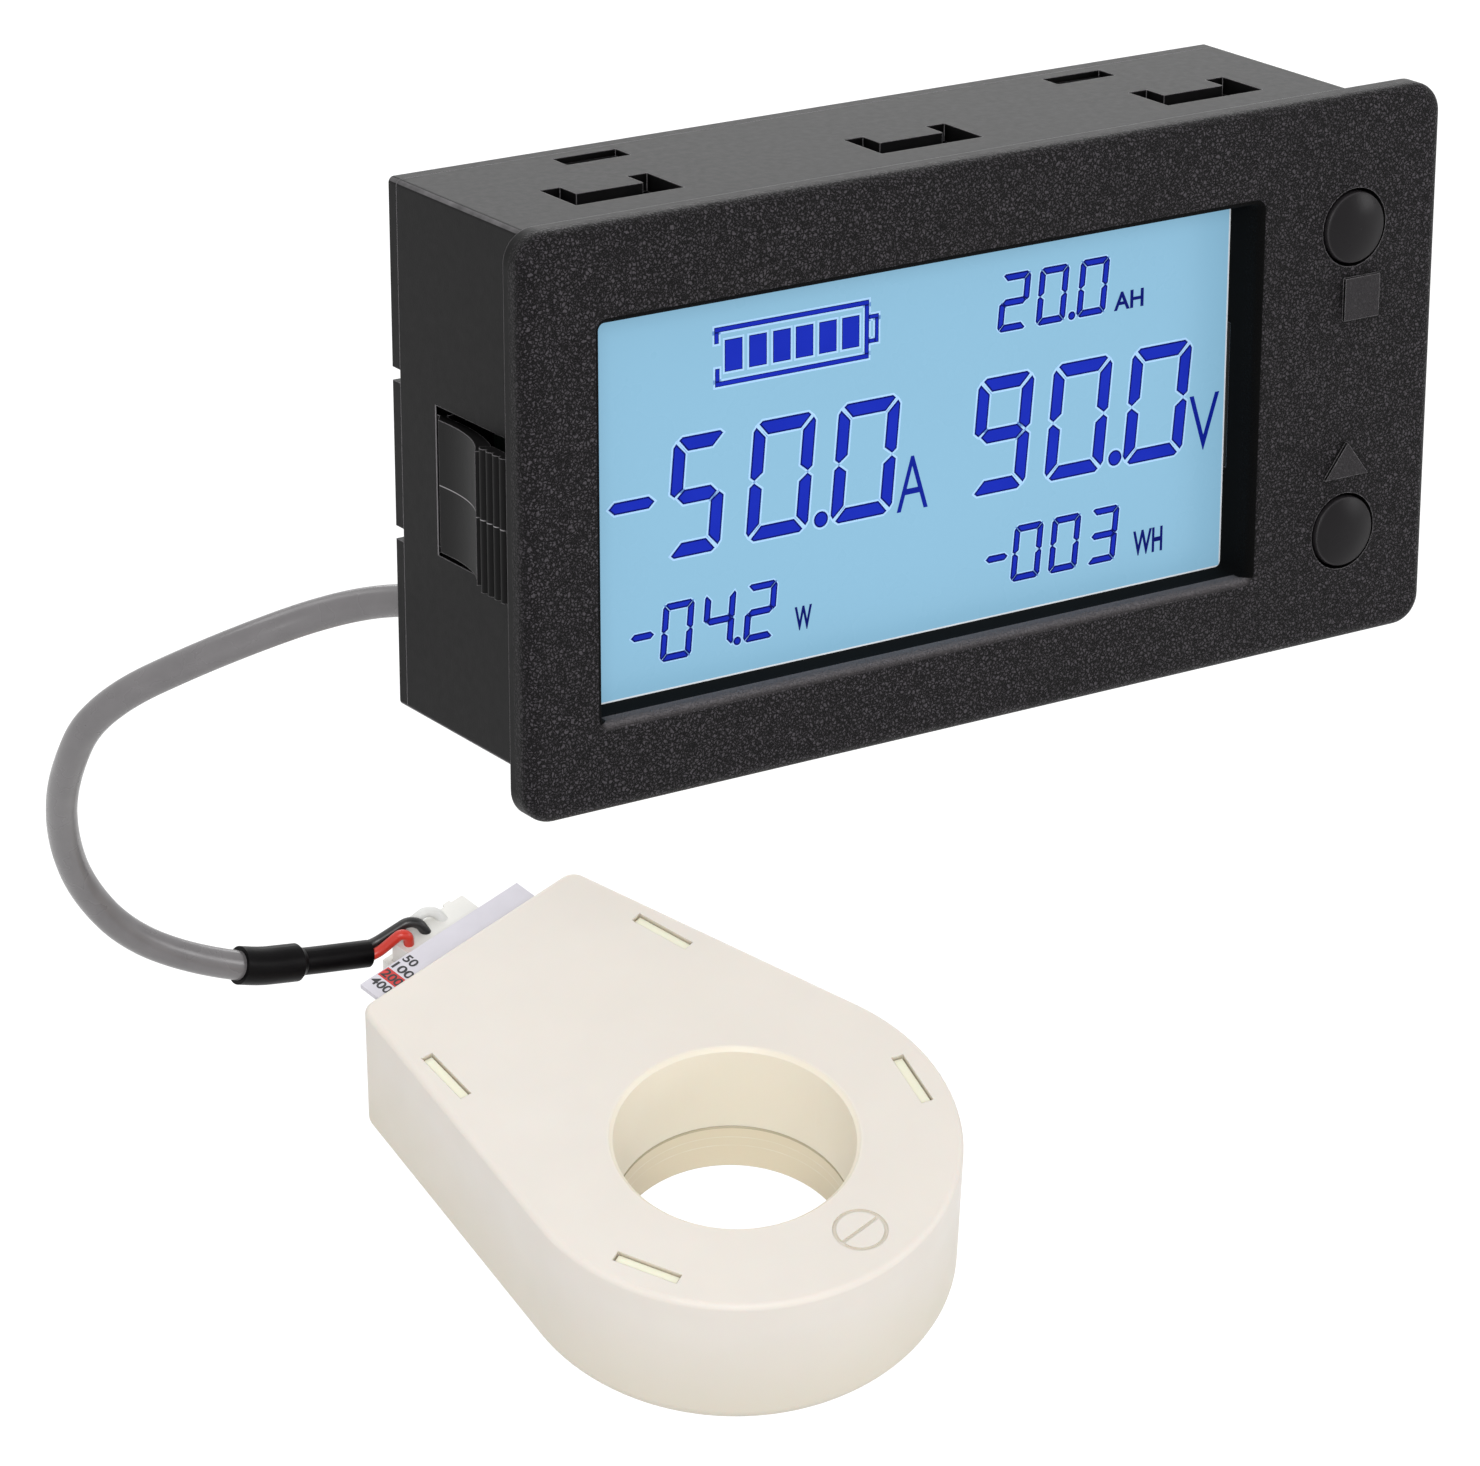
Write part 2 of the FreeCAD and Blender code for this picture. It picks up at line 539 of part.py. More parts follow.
def shelled(body, wall, y):
    """Hollows the body's latest feature, open at its face that lies at y."""
    doc.recompute()
    tip = body.Tip
    open_faces = ["Face%d" % (i + 1) for i, face in enumerate(tip.Shape.Faces)
                  if near(face.CenterOfMass.y, y)]
    feature = body.newObject("PartDesign::Thickness", "Shell")
    feature.Base = (tip, open_faces)
    feature.Reversed = True
    feature.Join = "Intersection"
    bind(feature, Value=wall)
    return feature


def mirrored(body, *features):
    """The features again on the other side of the body's YZ plane."""
    copy = body.newObject("PartDesign::Mirrored", "Mirrored")
    copy.Originals = list(features)
    copy.MirrorPlane = (origin_part(body, "YZ_Plane"), [""])
    copy.Refine = True
    body.Tip = copy
    return copy


def in_a_row(body, axis, pitch, count, *features):
    """The features count times along one of the body's axes."""
    row = body.newObject("PartDesign::LinearPattern", "Row")
    row.Originals = list(features)
    row.Direction = (origin_part(body, axis), [""])
    row.Occurrences = count
    bind(row, Length="%d * (%s)" % (count - 1, pitch))
    row.Refine = True
    body.Tip = row
    return row


def near(a, b, slack=0.01):
    return abs(a - b) < slack


def runs_along(edge, axis):
    """True for a straight edge along an axis."""
    if not isinstance(edge.Curve, Part.Line):
        return False
    return abs(getattr(edge.Curve.Direction, axis)) > 0.999


def lies_at(edge, **places):
    """True when the edge's whole box lies at the given coordinates."""
    box = edge.BoundBox
    for axis, number in places.items():
        if not near(getattr(box, axis + "Min"), number) or not near(getattr(box, axis + "Max"), number):
            return False
    return True


# Front housing: frame, box, window, guides, tongues and slots in one moulding
def front_housing():
    body = new_body("front_housing")
    box = centred("0", "0", "body_width", "body_height")
    slab(body, [box], "-bezel_thick", "cover_face + bezel_thick")
    shelled(body, "wall", size("cover_face"))
    frame = centred("0", "0", "bezel_width", "bezel_height")
    inside = centred("0", "0", "inner_width", "inner_height")
    slab(body, [frame, inside], "-bezel_thick", "bezel_thick")
    frame_side = size("bezel_width") / 2
    rounded(body, "bezel_corner", lambda e: runs_along(e, "y") and near(abs(e.CenterOfMass.x), frame_side))
    face_y = -size("bezel_thick")
    rounded(body, "bezel_round", lambda e: lies_at(e, Y=face_y))
    box_side = size("body_width") / 2
    rounded(body, "body_corner", lambda e: runs_along(e, "y") and near(abs(e.CenterOfMass.x), box_side))
    window_collar(body)
    button_guides(body)
    raised_marks(body)
    board_posts(body)
    tongues(body)
    slot = rectangle("latch_x - latch_width / 2", "latch_front", "latch_width", "latch_long")
    mirrored(body, pocket(body, outline(body, "XY_Plane", [slot]), "body_height + 2", middle=True))
    clip_windows(body)
    return body


def window_collar(body):
    window = centred("window_x", "window_z", "window_width", "window_height")
    collar = centred("window_x", "window_z", "window_width + 2 * rim_wall", "window_height + 2 * rim_wall")
    slab(body, [collar], "skin_back - wall / 2", "display_face - skin_back + wall / 2")
    opening(body, [window], "-bezel_thick - 1", "window_depth + 2")
    left = size("window_x") - size("window_width") / 2
    right = left + size("window_width")
    low = size("window_z") - size("window_height") / 2
    high = low + size("window_height")

    def in_corner(edge):
        middle = edge.CenterOfMass
        beside = near(middle.x, left) or near(middle.x, right)
        return beside and (near(middle.z, low) or near(middle.z, high)) and runs_along(edge, "y")

    rounded(body, "window_corner", in_corner)
    face_y = -size("bezel_thick")

    def on_front_lip(edge):
        middle = edge.CenterOfMass
        inside = left - 0.01 <= middle.x <= right + 0.01 and low - 0.01 <= middle.z <= high + 0.01
        return lies_at(edge, Y=face_y) and inside

    rounded(body, "window_lip", on_front_lip)


def button_guides(body):
    heights = ("button_upper_z", "button_lower_z")
    guides = [Round("button_x", z, "button_hole + guide_wall") for z in heights]
    holes = [Round("button_x", z, "button_hole") for z in heights]
    slab(body, guides, "skin_back - wall / 2", "guide_end - skin_back + wall / 2")
    opening(body, holes, "-bezel_thick - 1", "guide_end + bezel_thick + 2")


def raised_marks(body):
    """A square and a triangle, the signs of the two buttons."""
    square = centred("square_x", "square_z", "square_side", "square_side")
    triangle = [("button_x - triangle_base / 2", "triangle_z"),
                ("button_x + triangle_base / 2", "triangle_z"),
                ("button_x", "triangle_z + triangle_tall")]
    pad(body, facing(body, [square, triangle], "wall / 2 - bezel_thick"), "mark_proud + wall / 2")


def board_posts(body):
    """Corner posts that the main board rests on."""
    x = "inner_width / 2 - post_side"
    long = "post_side + wall / 2"
    upper = rectangle(x, "inner_height / 2 - post_side", long, long)
    lower = rectangle(x, "-inner_height / 2 - wall / 2", long, long)
    mirrored(body, slab(body, [upper, lower], "skin_back - wall / 2", "board_front - skin_back + wall / 2"))


def tongues(body):
    """U-shaped slots that free three tongues in the top and three in the bottom wall, with hooks."""
    rear = "tongue_front + tongue_arm"
    tip = "tongue_front + tongue_web"
    corners = [("tongue_x - tongue_outer", "tongue_front"), ("tongue_x + tongue_outer", "tongue_front"),
               ("tongue_x + tongue_outer", rear), ("tongue_x + tongue_inner", rear),
               ("tongue_x + tongue_inner", tip), ("tongue_x - tongue_inner", tip),
               ("tongue_x - tongue_inner", rear), ("tongue_x - tongue_outer", rear)]
    slots = pocket(body, outline(body, "XY_Plane", [corners]), "body_height + 2", middle=True)
    front = "board_back + seam_gap"
    root = "inner_height / 2 + wall / 2"
    hook = [(front, "inner_height / 2 - hook_proud"), (front + " + hook_long", "inner_height / 2"),
            (front + " + hook_long", root), (front, root)]
    lower_hook = [(y, "-(%s)" % z) for y, z in hook]
    hooks = pad(body, outline(body, "YZ_Plane", [hook, lower_hook], "tongue_x"), "hook_width", middle=True)
    in_a_row(body, "X_Axis", "tongue_pitch", 3, slots, hooks)


def clip_windows(body):
    """Openings for the side clips, and the half-round seats of their rolled roots."""
    window = rectangle("clip_window_front", "clip_z - clip_window_tall / 2",
                       "clip_window_rear - clip_window_front", "clip_window_tall")
    pocket(body, outline(body, "YZ_Plane", [window]), "body_width + 2", middle=True)
    seat = Round("barrel_x", "clip_window_rear", "clip_barrel + barrel_gap")
    seats = outline(body, "XY_Plane", [seat], "clip_z")
    mirrored(body, pocket(body, seats, "clip_window_tall", middle=True))


# Rear cover: plate with a rim, four latch arms, edge notches, terminal and lead openings
def rear_cover():
    body = new_body("rear_cover")
    slab(body, [centred("0", "0", "body_width", "body_height")], "cover_face", "cover_thick")
    rounded(body, "body_corner", lambda e: runs_along(e, "y"))
    rim = centred("0", "0", "rim_width", "rim_height")
    inside = centred("0", "0", "rim_width - 2 * rim_bar", "rim_height - 2 * rim_bar")
    slab(body, [rim, inside], "cover_face - cover_rim", "cover_rim + cover_thick / 2")
    latch_arms(body)
    notches = [rectangle("body_width / 2 - notch_deep", z + " - notch_tall / 2",
                         "notch_deep + 1", "notch_tall")
               for z in ("notch_upper_z", "notch_lower_z")]
    mirrored(body, opening(body, notches, "cover_face - 1", "cover_thick + 2"))
    terminal = centred("terminal_x", "(terminal_low + terminal_high) / 2",
                       "2 * (pole_pitch + terminal_wall + seam_gap)",
                       "terminal_tall + 2 * (terminal_floor + seam_gap)")
    outlet = Round("lead_x", "lead_z", "grommet_neck + seam_gap / 2")
    opening(body, [terminal, outlet], "cover_face - cover_rim - 1", "cover_thick + cover_rim + 2")
    flange = Round("lead_x", "lead_z", "grommet_flange + seam_gap")
    opening(body, [flange], "cover_face - cover_rim - 1", "cover_rim + 1")
    return body


def latch_arms(body):
    """Arms along the top and bottom walls, each with a wedge that snaps into a rear slot."""
    back = "body_depth - cover_thick / 2"
    front = "latch_front + seam_gap"
    end = "latch_front + latch_long - seam_gap"
    top = "rim_height / 2"
    low = "rim_height / 2 - latch_bar"
    crest = "body_height / 2 - latch_sink"
    arm = [(back, low), (back, top), (end, top), (end, crest), (end + " - latch_flat", crest), (front, top),
           (front + " - latch_tip", low)]
    lower_arm = [(y, "-(%s)" % z) for y, z in arm]
    arms = outline(body, "YZ_Plane", [arm, lower_arm], "latch_x")
    mirrored(body, pad(body, arms, "latch_width - 2 * seam_gap", middle=True))


# Display stack behind the window
def display_parts():
    left = "window_x - cell_width / 2"
    film = new_body("lcd_front_film")
    sheet_outline = rectangle(left + " + film_inset", "cell_low + film_ledge", "cell_width - 2 * film_inset",
                              "cell_height - film_ledge - film_inset")
    slab(film, [sheet_outline], "display_face", "polarizer_thick")
    glass = new_body("lcd_glass")
    half = "glass_face + glass_thick / 2"
    section = [("glass_face", "cell_low"), (half, "cell_low"), (half, "cell_low + glass_step"),
               ("holder_face", "cell_low + glass_step"), ("holder_face", "cell_low + cell_height"),
               ("glass_face", "cell_low + cell_height")]
    pad(glass, outline(glass, "YZ_Plane", [section], "window_x"), "cell_width", middle=True)
    holder = new_body("lcd_holder")
    edge = centred("window_x", "window_z", "cell_width", "cell_height")
    inside = centred("window_x", "window_z", "cell_width - 2 * holder_wall", "cell_height - 2 * holder_wall")
    slab(holder, [edge, inside], "holder_face", "board_front - holder_face")
    floor = centred("window_x", "window_z", "cell_width - holder_wall", "cell_height - holder_wall")
    slab(holder, [floor], "holder_face + guide_thick", "holder_floor")
    light = new_body("backlight_guide")
    clear = centred("window_x", "window_z", "cell_width - 2 * (holder_wall + seam_gap)",
                    "cell_height - 2 * (holder_wall + seam_gap)")
    slab(light, [clear], "holder_face", "guide_thick")
    rounded(light, "guide_corner", lambda e: runs_along(e, "y"))
    return [film, glass, holder, light, display_pins()]


def display_pins():
    pins = new_body("lcd_pins")
    count = int(size("window_width") / size("pin_pitch")) - 2
    first = "window_x - %s * pin_pitch - pin_side / 2" % ((count - 1) / 2)
    pin = slab(pins, [rectangle(first, "cell_low - pin_side", "pin_side", "pin_side")], "glass_face",
               "board_front - glass_face")
    in_a_row(pins, "X_Axis", "pin_pitch", count, pin)
    return pins


# Main board and the parts soldered to it
def board_parts():
    board = new_body("main_board")
    plate = centred("0", "0", "inner_width - 2 * board_gap", "inner_height - 2 * board_gap")
    slab(board, [plate], "board_front", "board_thick")
    rounded(board, "board_corner", lambda e: runs_along(e, "y"))
    return [board, chip("microcontroller", "controller", 8), regulator(), chip("memory_chip", "memory", 4),
            capacitors(), lead_header()]


def chip(name, kind, legs):
    """A flat package with a row of legs on its left and right sides."""
    body = new_body(name)
    x = kind + "_x"
    z = kind + "_z"
    slab(body, [centred(x, z, kind + "_wide", kind + "_deep")], "board_back + leg_thick / 2", kind + "_tall")
    rounded(body, "chip_bevel", lambda e: runs_along(e, "y"), kind="Chamfer")
    lowest = "%s - %s * leg_pitch" % (z, (legs - 1) / 2)
    leg = slab(body, [centred(x, lowest, kind + "_span", "leg_wide")], "board_back", "leg_thick")
    in_a_row(body, "Z_Axis", "leg_pitch", legs, leg)
    return body


def regulator():
    body = new_body("voltage_regulator")
    case = centred("regulator_x", "regulator_z", "regulator_wide", "regulator_deep")
    slab(body, [case], "board_back", "regulator_tall")
    slab(body, [centred("regulator_x", "regulator_z", "tab_wide", "tab_long")], "board_back", "tab_thick")
    return body


def capacitors():
    """Two cans, turned about the lower one's axis."""
    body = new_body("filter_capacitors")
    foot = size("board_back")
    radius = size("can_radius")
    end = foot + size("can_tall")
    bevel = size("can_bevel")
    section = [(0, foot), (radius, foot), (radius, end - bevel), (radius - bevel, end), (0, end)]
    can = turned(body, sketch_on(body, "XY_Plane", polygon(section)))
    in_a_row(body, "Z_Axis", "2 * can_radius + can_gap", 2, can)
    bind(body, Placement__Base__x="can_x", Placement__Base__z="can_z")
    return body


def lead_header():
    body = new_body("lead_header")
    slab(body, [rectangle("header_x", "header_z", "header_wide", "header_tall")], "board_back", "header_deep")
    socket = rectangle("header_x + header_wall", "header_z + header_wall", "header_wide - 2 * header_wall",
                       "header_tall - 2 * header_wall")
    opening(body, [socket], "board_back + header_floor", "header_deep")
    return body


# Push buttons: domed cap with a stem and keepers, and the switch below it
def button(place_name):
    height = "button_%s_z" % place_name
    plunger = new_body("switch_plunger_" + place_name)
    stem = Round("button_x", height, "plunger_radius")
    slab(plunger, [stem], "plunger_front", "plunger_proud + plunger_root")
    switch = new_body("push_switch_" + place_name)
    slab(switch, [centred("button_x", height, "switch_side", "switch_side")], "switch_front", "switch_tall")
    rounded(switch, "switch_bevel", lambda e: runs_along(e, "y"), kind="Chamfer")
    opening(switch, [Round("button_x", height, "plunger_radius + running_gap")], "switch_front - 1",
            "plunger_root + button_travel + plunger_play + 1")
    return [button_cap(place_name, height), plunger, switch]


def button_cap(place_name, height):
    cap = new_body("button_cap_" + place_name)
    front = -size("bezel_thick") - size("button_proud")
    radius = size("button_hole") - size("button_gap")
    dome = size("button_dome")
    bend = size("cap_round")
    rim = radius - bend
    skirt = size("guide_end") + size("cap_skirt")
    stem = size("cap_stem")
    stem_end = size("plunger_front")
    lift = bend * (1 - math.sqrt(0.5))
    face = Part.Arc(V(0, front - dome, 0), V(rim * 0.55, front - dome * 0.75, 0), V(rim, front, 0))
    corners = [(rim, front), (radius - lift, front + lift), (radius, front + bend), (radius, skirt),
               (stem, skirt), (stem, stem_end), (0, stem_end), (0, front - dome)]
    sides = [Part.LineSegment(V(*a, 0), V(*b, 0)) for a, b in zip(corners[:-1], corners[1:])]
    turned(cap, sketch_on(cap, "XY_Plane", [face] + sides))
    keeper = centred("0", "0", "keeper_wide", "2 * (button_hole + keeper_proud)")
    slab(cap, [keeper], "guide_end + keeper_gap", "keeper_thick")
    bind(cap, Placement__Base__x="button_x", Placement__Base__z=height)
    return cap


# Side clips: a bowed strip with a rolled root and a ribbed head that grips the panel
def clip(side_name):
    sign = -1 if side_name == "left" else 1
    side = size("body_width") / 2
    root = V(size("barrel_x"), size("clip_window_rear"), 0)
    sheet_thick = size("clip_sheet")
    out = side + size("clip_out")
    knee = side + size("clip_knee_out")
    crest = side + size("clip_reach")
    pitch = size("clip_pitch")
    ribs = 5
    front = size("clip_front")
    rear = front + ribs * pitch
    heel = root.y - 1.3
    # The strip's two faces, root to head: flat along the box, then bowed out to the head
    outer = [V(out, heel, 0),
             V(out, rear + size("clip_bend"), 0),
             V(knee, rear + size("clip_knee"), 0),
             V(crest, rear + size("clip_crest"), 0)]
    inner = [V(out - sheet_thick, heel, 0),
             V(out - sheet_thick, outer[1].y - size("clip_bend_lag"), 0),
             V(knee - sheet_thick, outer[2].y - size("clip_knee_lag"), 0),
             V(crest - sheet_thick - size("clip_swell"), outer[3].y - size("clip_crest_lag"), 0)]
    foot = [inner[0],
            root - V(0, size("clip_toe_front"), 0),
            root + V(size("clip_toe_out"), size("clip_toe_rear"), 0),
            outer[0]]
    edges = [smooth(outer), smooth(inner)]
    edges += [Part.LineSegment(a, b) for a, b in zip(foot[:-1], foot[1:])]
    # The ribbed head: half-round ribs along its outer face
    floor_x = crest - size("clip_rib")
    neck = V(floor_x, rear, 0)
    edges.append(Part.LineSegment(outer[-1], neck))
    for i in range(ribs):
        start = rear - i * pitch
        top = V(crest, start - pitch / 2, 0)
        edges.append(Part.Arc(V(floor_x, start, 0), top, V(floor_x, start - pitch, 0)))
    nose = [V(floor_x, front, 0), V(floor_x - size("clip_nose"), front, 0), inner[-1]]
    edges += [Part.LineSegment(a, b) for a, b in zip(nose[:-1], nose[1:])]
    head = edges[-ribs - 2:] + [Part.LineSegment(inner[-1], neck)]
    body = new_body("clip_" + side_name)
    for profile, tall in ((edges, "clip_tall"), (head, "clip_head_tall")):
        pad(body, sketch_on(body, "XY_Plane", flipped(profile, sign), "clip_z"), tall, middle=True)
    barrel = Round("%d * barrel_x" % sign, "clip_window_rear", "clip_barrel")
    pad(body, outline(body, "XY_Plane", [barrel], "clip_z"), "clip_tall", middle=True)
    return body


def flipped(edges, sign):
    """Copies of the edges, mirrored across x = 0 when the sign is negative."""
    scale = FreeCAD.Matrix()
    scale.A11 = sign
    copies = [edge.copy() for edge in edges]
    for edge in copies:
        edge.transform(scale)
    return copies


def smooth(points):
    curve = Part.BSplineCurve()
    curve.interpolate(points)
    return curve


# Screw terminal at the back: header on the board, plug, two screws and two rising clamps
def terminal_parts():
    header = new_body("terminal_header")
    shell = rectangle("terminal_x - pole_pitch - terminal_wall", "terminal_low - terminal_floor",
                      "2 * (pole_pitch + terminal_wall)", "terminal_tall + 2 * terminal_floor")
    socket = rectangle("terminal_x - pole_pitch - seam_gap", "terminal_low - seam_gap",
                       "2 * (pole_pitch + seam_gap)", "terminal_tall - terminal_key + 2 * seam_gap")
    slab(header, [shell], "board_back", "cover_face - board_back")
    opening(header, [socket], "terminal_base", "cover_face - board_back")
    parts = [header, terminal_plug()]
    for number, x in ((1, "pole_x"), (2, "pole_x + pole_pitch")):
        parts += [terminal_screw(number, x), wire_clamp(number, x)]
    bars = new_body("terminal_contacts")
    bar = slab(bars, [contact_section()], "contact_front", "contact_rear - contact_front")
    in_a_row(bars, "X_Axis", "pole_pitch", 2, bar)
    return parts + [bars]


def contact_section():
    return rectangle("pole_x - contact_wide / 2", "contact_z", "contact_wide", "contact_thick")


def terminal_plug():
    """A stepped block with a clamp chamber, screw well, wire entry and contact slot for each pole."""
    plug = new_body("terminal_plug")
    step = "body_depth + terminal_gap"
    section = [("terminal_base", "terminal_low"), ("terminal_rear", "terminal_low"),
               ("terminal_rear", "terminal_high - terminal_bevel"),
               ("terminal_rear - terminal_bevel", "terminal_high"), (step, "terminal_high"),
               (step, "terminal_high - terminal_key"), ("terminal_base", "terminal_high - terminal_key")]
    pad(plug, outline(plug, "YZ_Plane", [section], "terminal_x"), "2 * pole_pitch", middle=True)
    cage = centred("pole_x", "screw_y", "cage_wide", "cage_deep")
    well = Round("pole_x", "screw_y", "screw_head + well_gap")
    features = [
        pocket(plug, outline(plug, "XY_Plane", [cage], "cage_low + cage_tall"), "cage_tall"),
        pocket(plug, outline(plug, "XY_Plane", [well], "terminal_high + 1"), "terminal_high + 1 - well_low"),
        opening(plug, [Round("pole_x", "entry_z", "entry_radius")], "screw_y", "terminal_rear - screw_y + 1"),
        opening(plug, [contact_section()], "contact_front", "screw_y - contact_front"),
    ]
    in_a_row(plug, "X_Axis", "pole_pitch", 2, *features)
    return plug


def terminal_screw(number, x):
    """A slotted screw, turned about its own upright axis."""
    screw = new_body("terminal_screw_%d" % number)
    low = size("screw_low")
    seat = size("screw_seat")
    top = seat + size("screw_head_tall")
    shank = size("screw_shank")
    head = size("screw_head")
    bevel = size("screw_bevel")
    section = [(0, low), (shank, low), (shank, seat), (head, seat),
               (head, top - bevel), (head - bevel, top), (0, top)]
    turned(screw, sketch_on(screw, "XZ_Plane", polygon(section)))
    slot = centred("0", "0", "2 * screw_head + 1", "screw_slot")
    pocket(screw, outline(screw, "XY_Plane", [slot], "screw_seat + screw_head_tall"), "screw_slot_deep")
    bind(screw, Placement__Base__x=x, Placement__Base__y="screw_y")
    return screw


def wire_clamp(number, x):
    """A square loop around the contact bar and the wire, with the screw's hole in its roof."""
    clamp = new_body("wire_clamp_%d" % number)
    loop = rectangle(x + " - clamp_wide / 2", "clamp_low", "clamp_wide", "clamp_tall")
    hollow = rectangle(x + " - clamp_wide / 2 + clamp_side", "clamp_low + clamp_floor",
                       "clamp_wide - 2 * clamp_side", "clamp_tall - clamp_floor - clamp_roof")
    pad(clamp, facing(clamp, [loop, hollow], "screw_y"), "clamp_deep", middle=True)
    hole = Round(x, "screw_y", "screw_shank + running_gap")
    pocket(clamp, outline(clamp, "XY_Plane", [hole], "clamp_low + clamp_tall + 1"), "clamp_roof + 1.5")
    return clamp


# Lead from the cover to the sensor: grommet, grey lead, two sleeves, three wires
OUTLET_RUN = 7.0
LEAD_ROUTE = [(-36.0, 41.0, -19.0), (-45.1, 46.8, -23.5), (-52.9, 55.9, -29.9), (-52.8, 62.8, -38.4),
              (-50.5, 68.0, -45.8), (-47.1, 71.5, -52.8), (-42.0, 73.0, -59.4), (-35.0, 73.2, -63.6),
              (-30.38, 73.4, -64.94)]
SLEEVE_ROUTE = [(-30.38, 73.4, -64.94), (-28.1, 73.5, -65.6), (-24.2, 73.805, -66.209)]
THIN_SLEEVE_ROUTE = [(-23.508, 73.859, -66.317), (-21.7, 74.0, -66.6), (-16.3, 74.169, -67.275)]


def tube_path(points):
    """Straight runs joined by arcs; prints the radius of each arc."""
    points = [V(*p) for p in points]
    edges = []
    last = points[0]
    radii = []
    for before, corner, after in zip(points[:-2], points[1:-1], points[2:]):
        into = corner - before
        out = after - corner
        turn = into.getAngle(out)
        tangent = 0.45 * min(into.Length, out.Length)
        radius = tangent / math.tan(turn / 2)
        radii.append(round(radius, 1))
        into.normalize()
        out.normalize()
        start = corner - into * tangent
        end = corner + out * tangent
        inward = out - into
        inward.normalize()
        reach = radius / math.cos(turn / 2) - radius
        edges.append(Part.LineSegment(last, start).toShape())
        edges.append(Part.Arc(start, corner + inward * reach, end).toShape())
        last = end
    edges.append(Part.LineSegment(last, points[-1]).toShape())
    return Part.Wire(edges), radii


def tube(name, points, radius):
    path, radii = tube_path(points)
    start = V(*points[0])
    disc = Part.Face(Part.Wire(Part.makeCircle(radius, start, V(*points[1]) - start)))
    feature = doc.addObject("Part::Feature", name)
    feature.Label = name
    feature.Shape = path.makePipe(disc)
    section = math.pi * radius ** 2 * path.Length
    share = feature.Shape.Volume / section
    print(name, "length", round(path.Length, 1), "radii", radii, "volume over section x length",
          round(share, 4))
    return feature


def shrink_sleeve():
    """Thick sleeve that tapers down onto the thin one."""
    sleeve = tube("shrink_sleeve", SLEEVE_ROUTE, size("sleeve_radius"))
    start = V(*SLEEVE_ROUTE[-1])
    run = V(*THIN_SLEEVE_ROUTE[0]) - start
    taper = Part.makeCone(size("sleeve_radius") - 0.03, size("thin_sleeve_radius"), run.Length, start, run)
    sleeve.Shape = sleeve.Shape.fuse(taper)
    return sleeve


def lead_parts():
    grommet = new_body("lead_grommet")
    flange = size("grommet_flange")
    neck = size("grommet_neck")
    plate = size("cover_face")
    back = size("body_depth")
    end = back + size("grommet_proud")
    inner_end = plate - size("grommet_inner")
    section = [(0, inner_end), (flange, inner_end), (flange, plate), (neck, plate), (neck, back),
               (flange, back), (flange, back + size("grommet_outer")), (size("grommet_nose"), end), (0, end)]
    turned(grommet, sketch_on(grommet, "XY_Plane", polygon(section)))
    bind(grommet, Placement__Base__x="lead_x", Placement__Base__z="lead_z")
    outlet = (size("lead_x"), end, size("lead_z"))
    route = [outlet, (outlet[0], end + OUTLET_RUN, outlet[2])] + LEAD_ROUTE
    return [
        grommet,
        tube("sensor_lead", route, size("lead_radius")),
        shrink_sleeve(),
        tube("thin_sleeve", THIN_SLEEVE_ROUTE, size("thin_sleeve_radius")),
    ]


# Ring sensor, modelled with its bore upright and its top face at zero, then turned into place
def sensor_pose():
    turn = FreeCAD.Rotation(V(0, 0, 1), size("sensor_yaw"))
    turn = turn * FreeCAD.Rotation(V(1, 0, 0), size("sensor_pitch"))
    turn = turn * FreeCAD.Rotation(V(0, 1, 0), size("sensor_roll"))
    return FreeCAD.Placement(V(size("sensor_x"), size("sensor_y"), size("sensor_z")), turn)


def side_lean():
    """Angle of the sensor's straight sides, in radians."""
    half = size("sensor_rear_half")
    rear = size("sensor_rear")
    return math.atan2(rear, half) - math.acos(size("sensor_end") / math.hypot(half, rear))


def teardrop(inset):
    """Outline of the sensor: a round end and two straight sides that close to the rear edge."""
    radius = size("sensor_end") - inset
    rear = size("sensor_rear")
    lean = side_lean()
    tangent = V(radius * math.cos(lean), radius * math.sin(lean), 0)
    side = V(math.cos(lean), math.sin(lean), 0)
    corner_y = rear - inset
    corner_x = (radius - side.y * corner_y) / side.x
    right = V(corner_x, corner_y, 0)
    left = V(-corner_x, corner_y, 0)
    mirror = V(-tangent.x, tangent.y, 0)
    return [Part.LineSegment(tangent, right), Part.LineSegment(right, left), Part.LineSegment(left, mirror),
            Part.Arc(mirror, V(0, -radius, 0), tangent)]


def right_hatches(play=0.0):
    """The two latch slots on the right, less a play all round: beside the side, and in the round end."""
    lean = side_lean()
    rear_y = size("hatch_rear_y")
    rear_x = (size("sensor_end") - size("hatch_rear_inset") - math.sin(lean) * rear_y) / math.cos(lean)
    front = math.radians(size("hatch_front_turn"))
    reach = size("sensor_end") - size("hatch_front_inset")
    spots = [(rear_x, rear_y, size("hatch_lean")),
             (reach * math.cos(front), -reach * math.sin(front), -size("hatch_front_turn"))]
    long = size("hatch_long") - 2 * play
    wide = size("hatch_wide") - 2 * play
    edges = []
    for x, y, degrees in spots:
        turn = FreeCAD.Rotation(V(0, 0, 1), degrees)
        corners = [V(wide / 2, -long / 2, 0), V(wide / 2, long / 2, 0), V(-wide / 2, long / 2, 0),
                   V(-wide / 2, -long / 2, 0)]
        places = [V(x, y, 0) + turn.multVec(corner) for corner in corners]
        edges += polygon([(place.x, place.y) for place in places])
    return edges


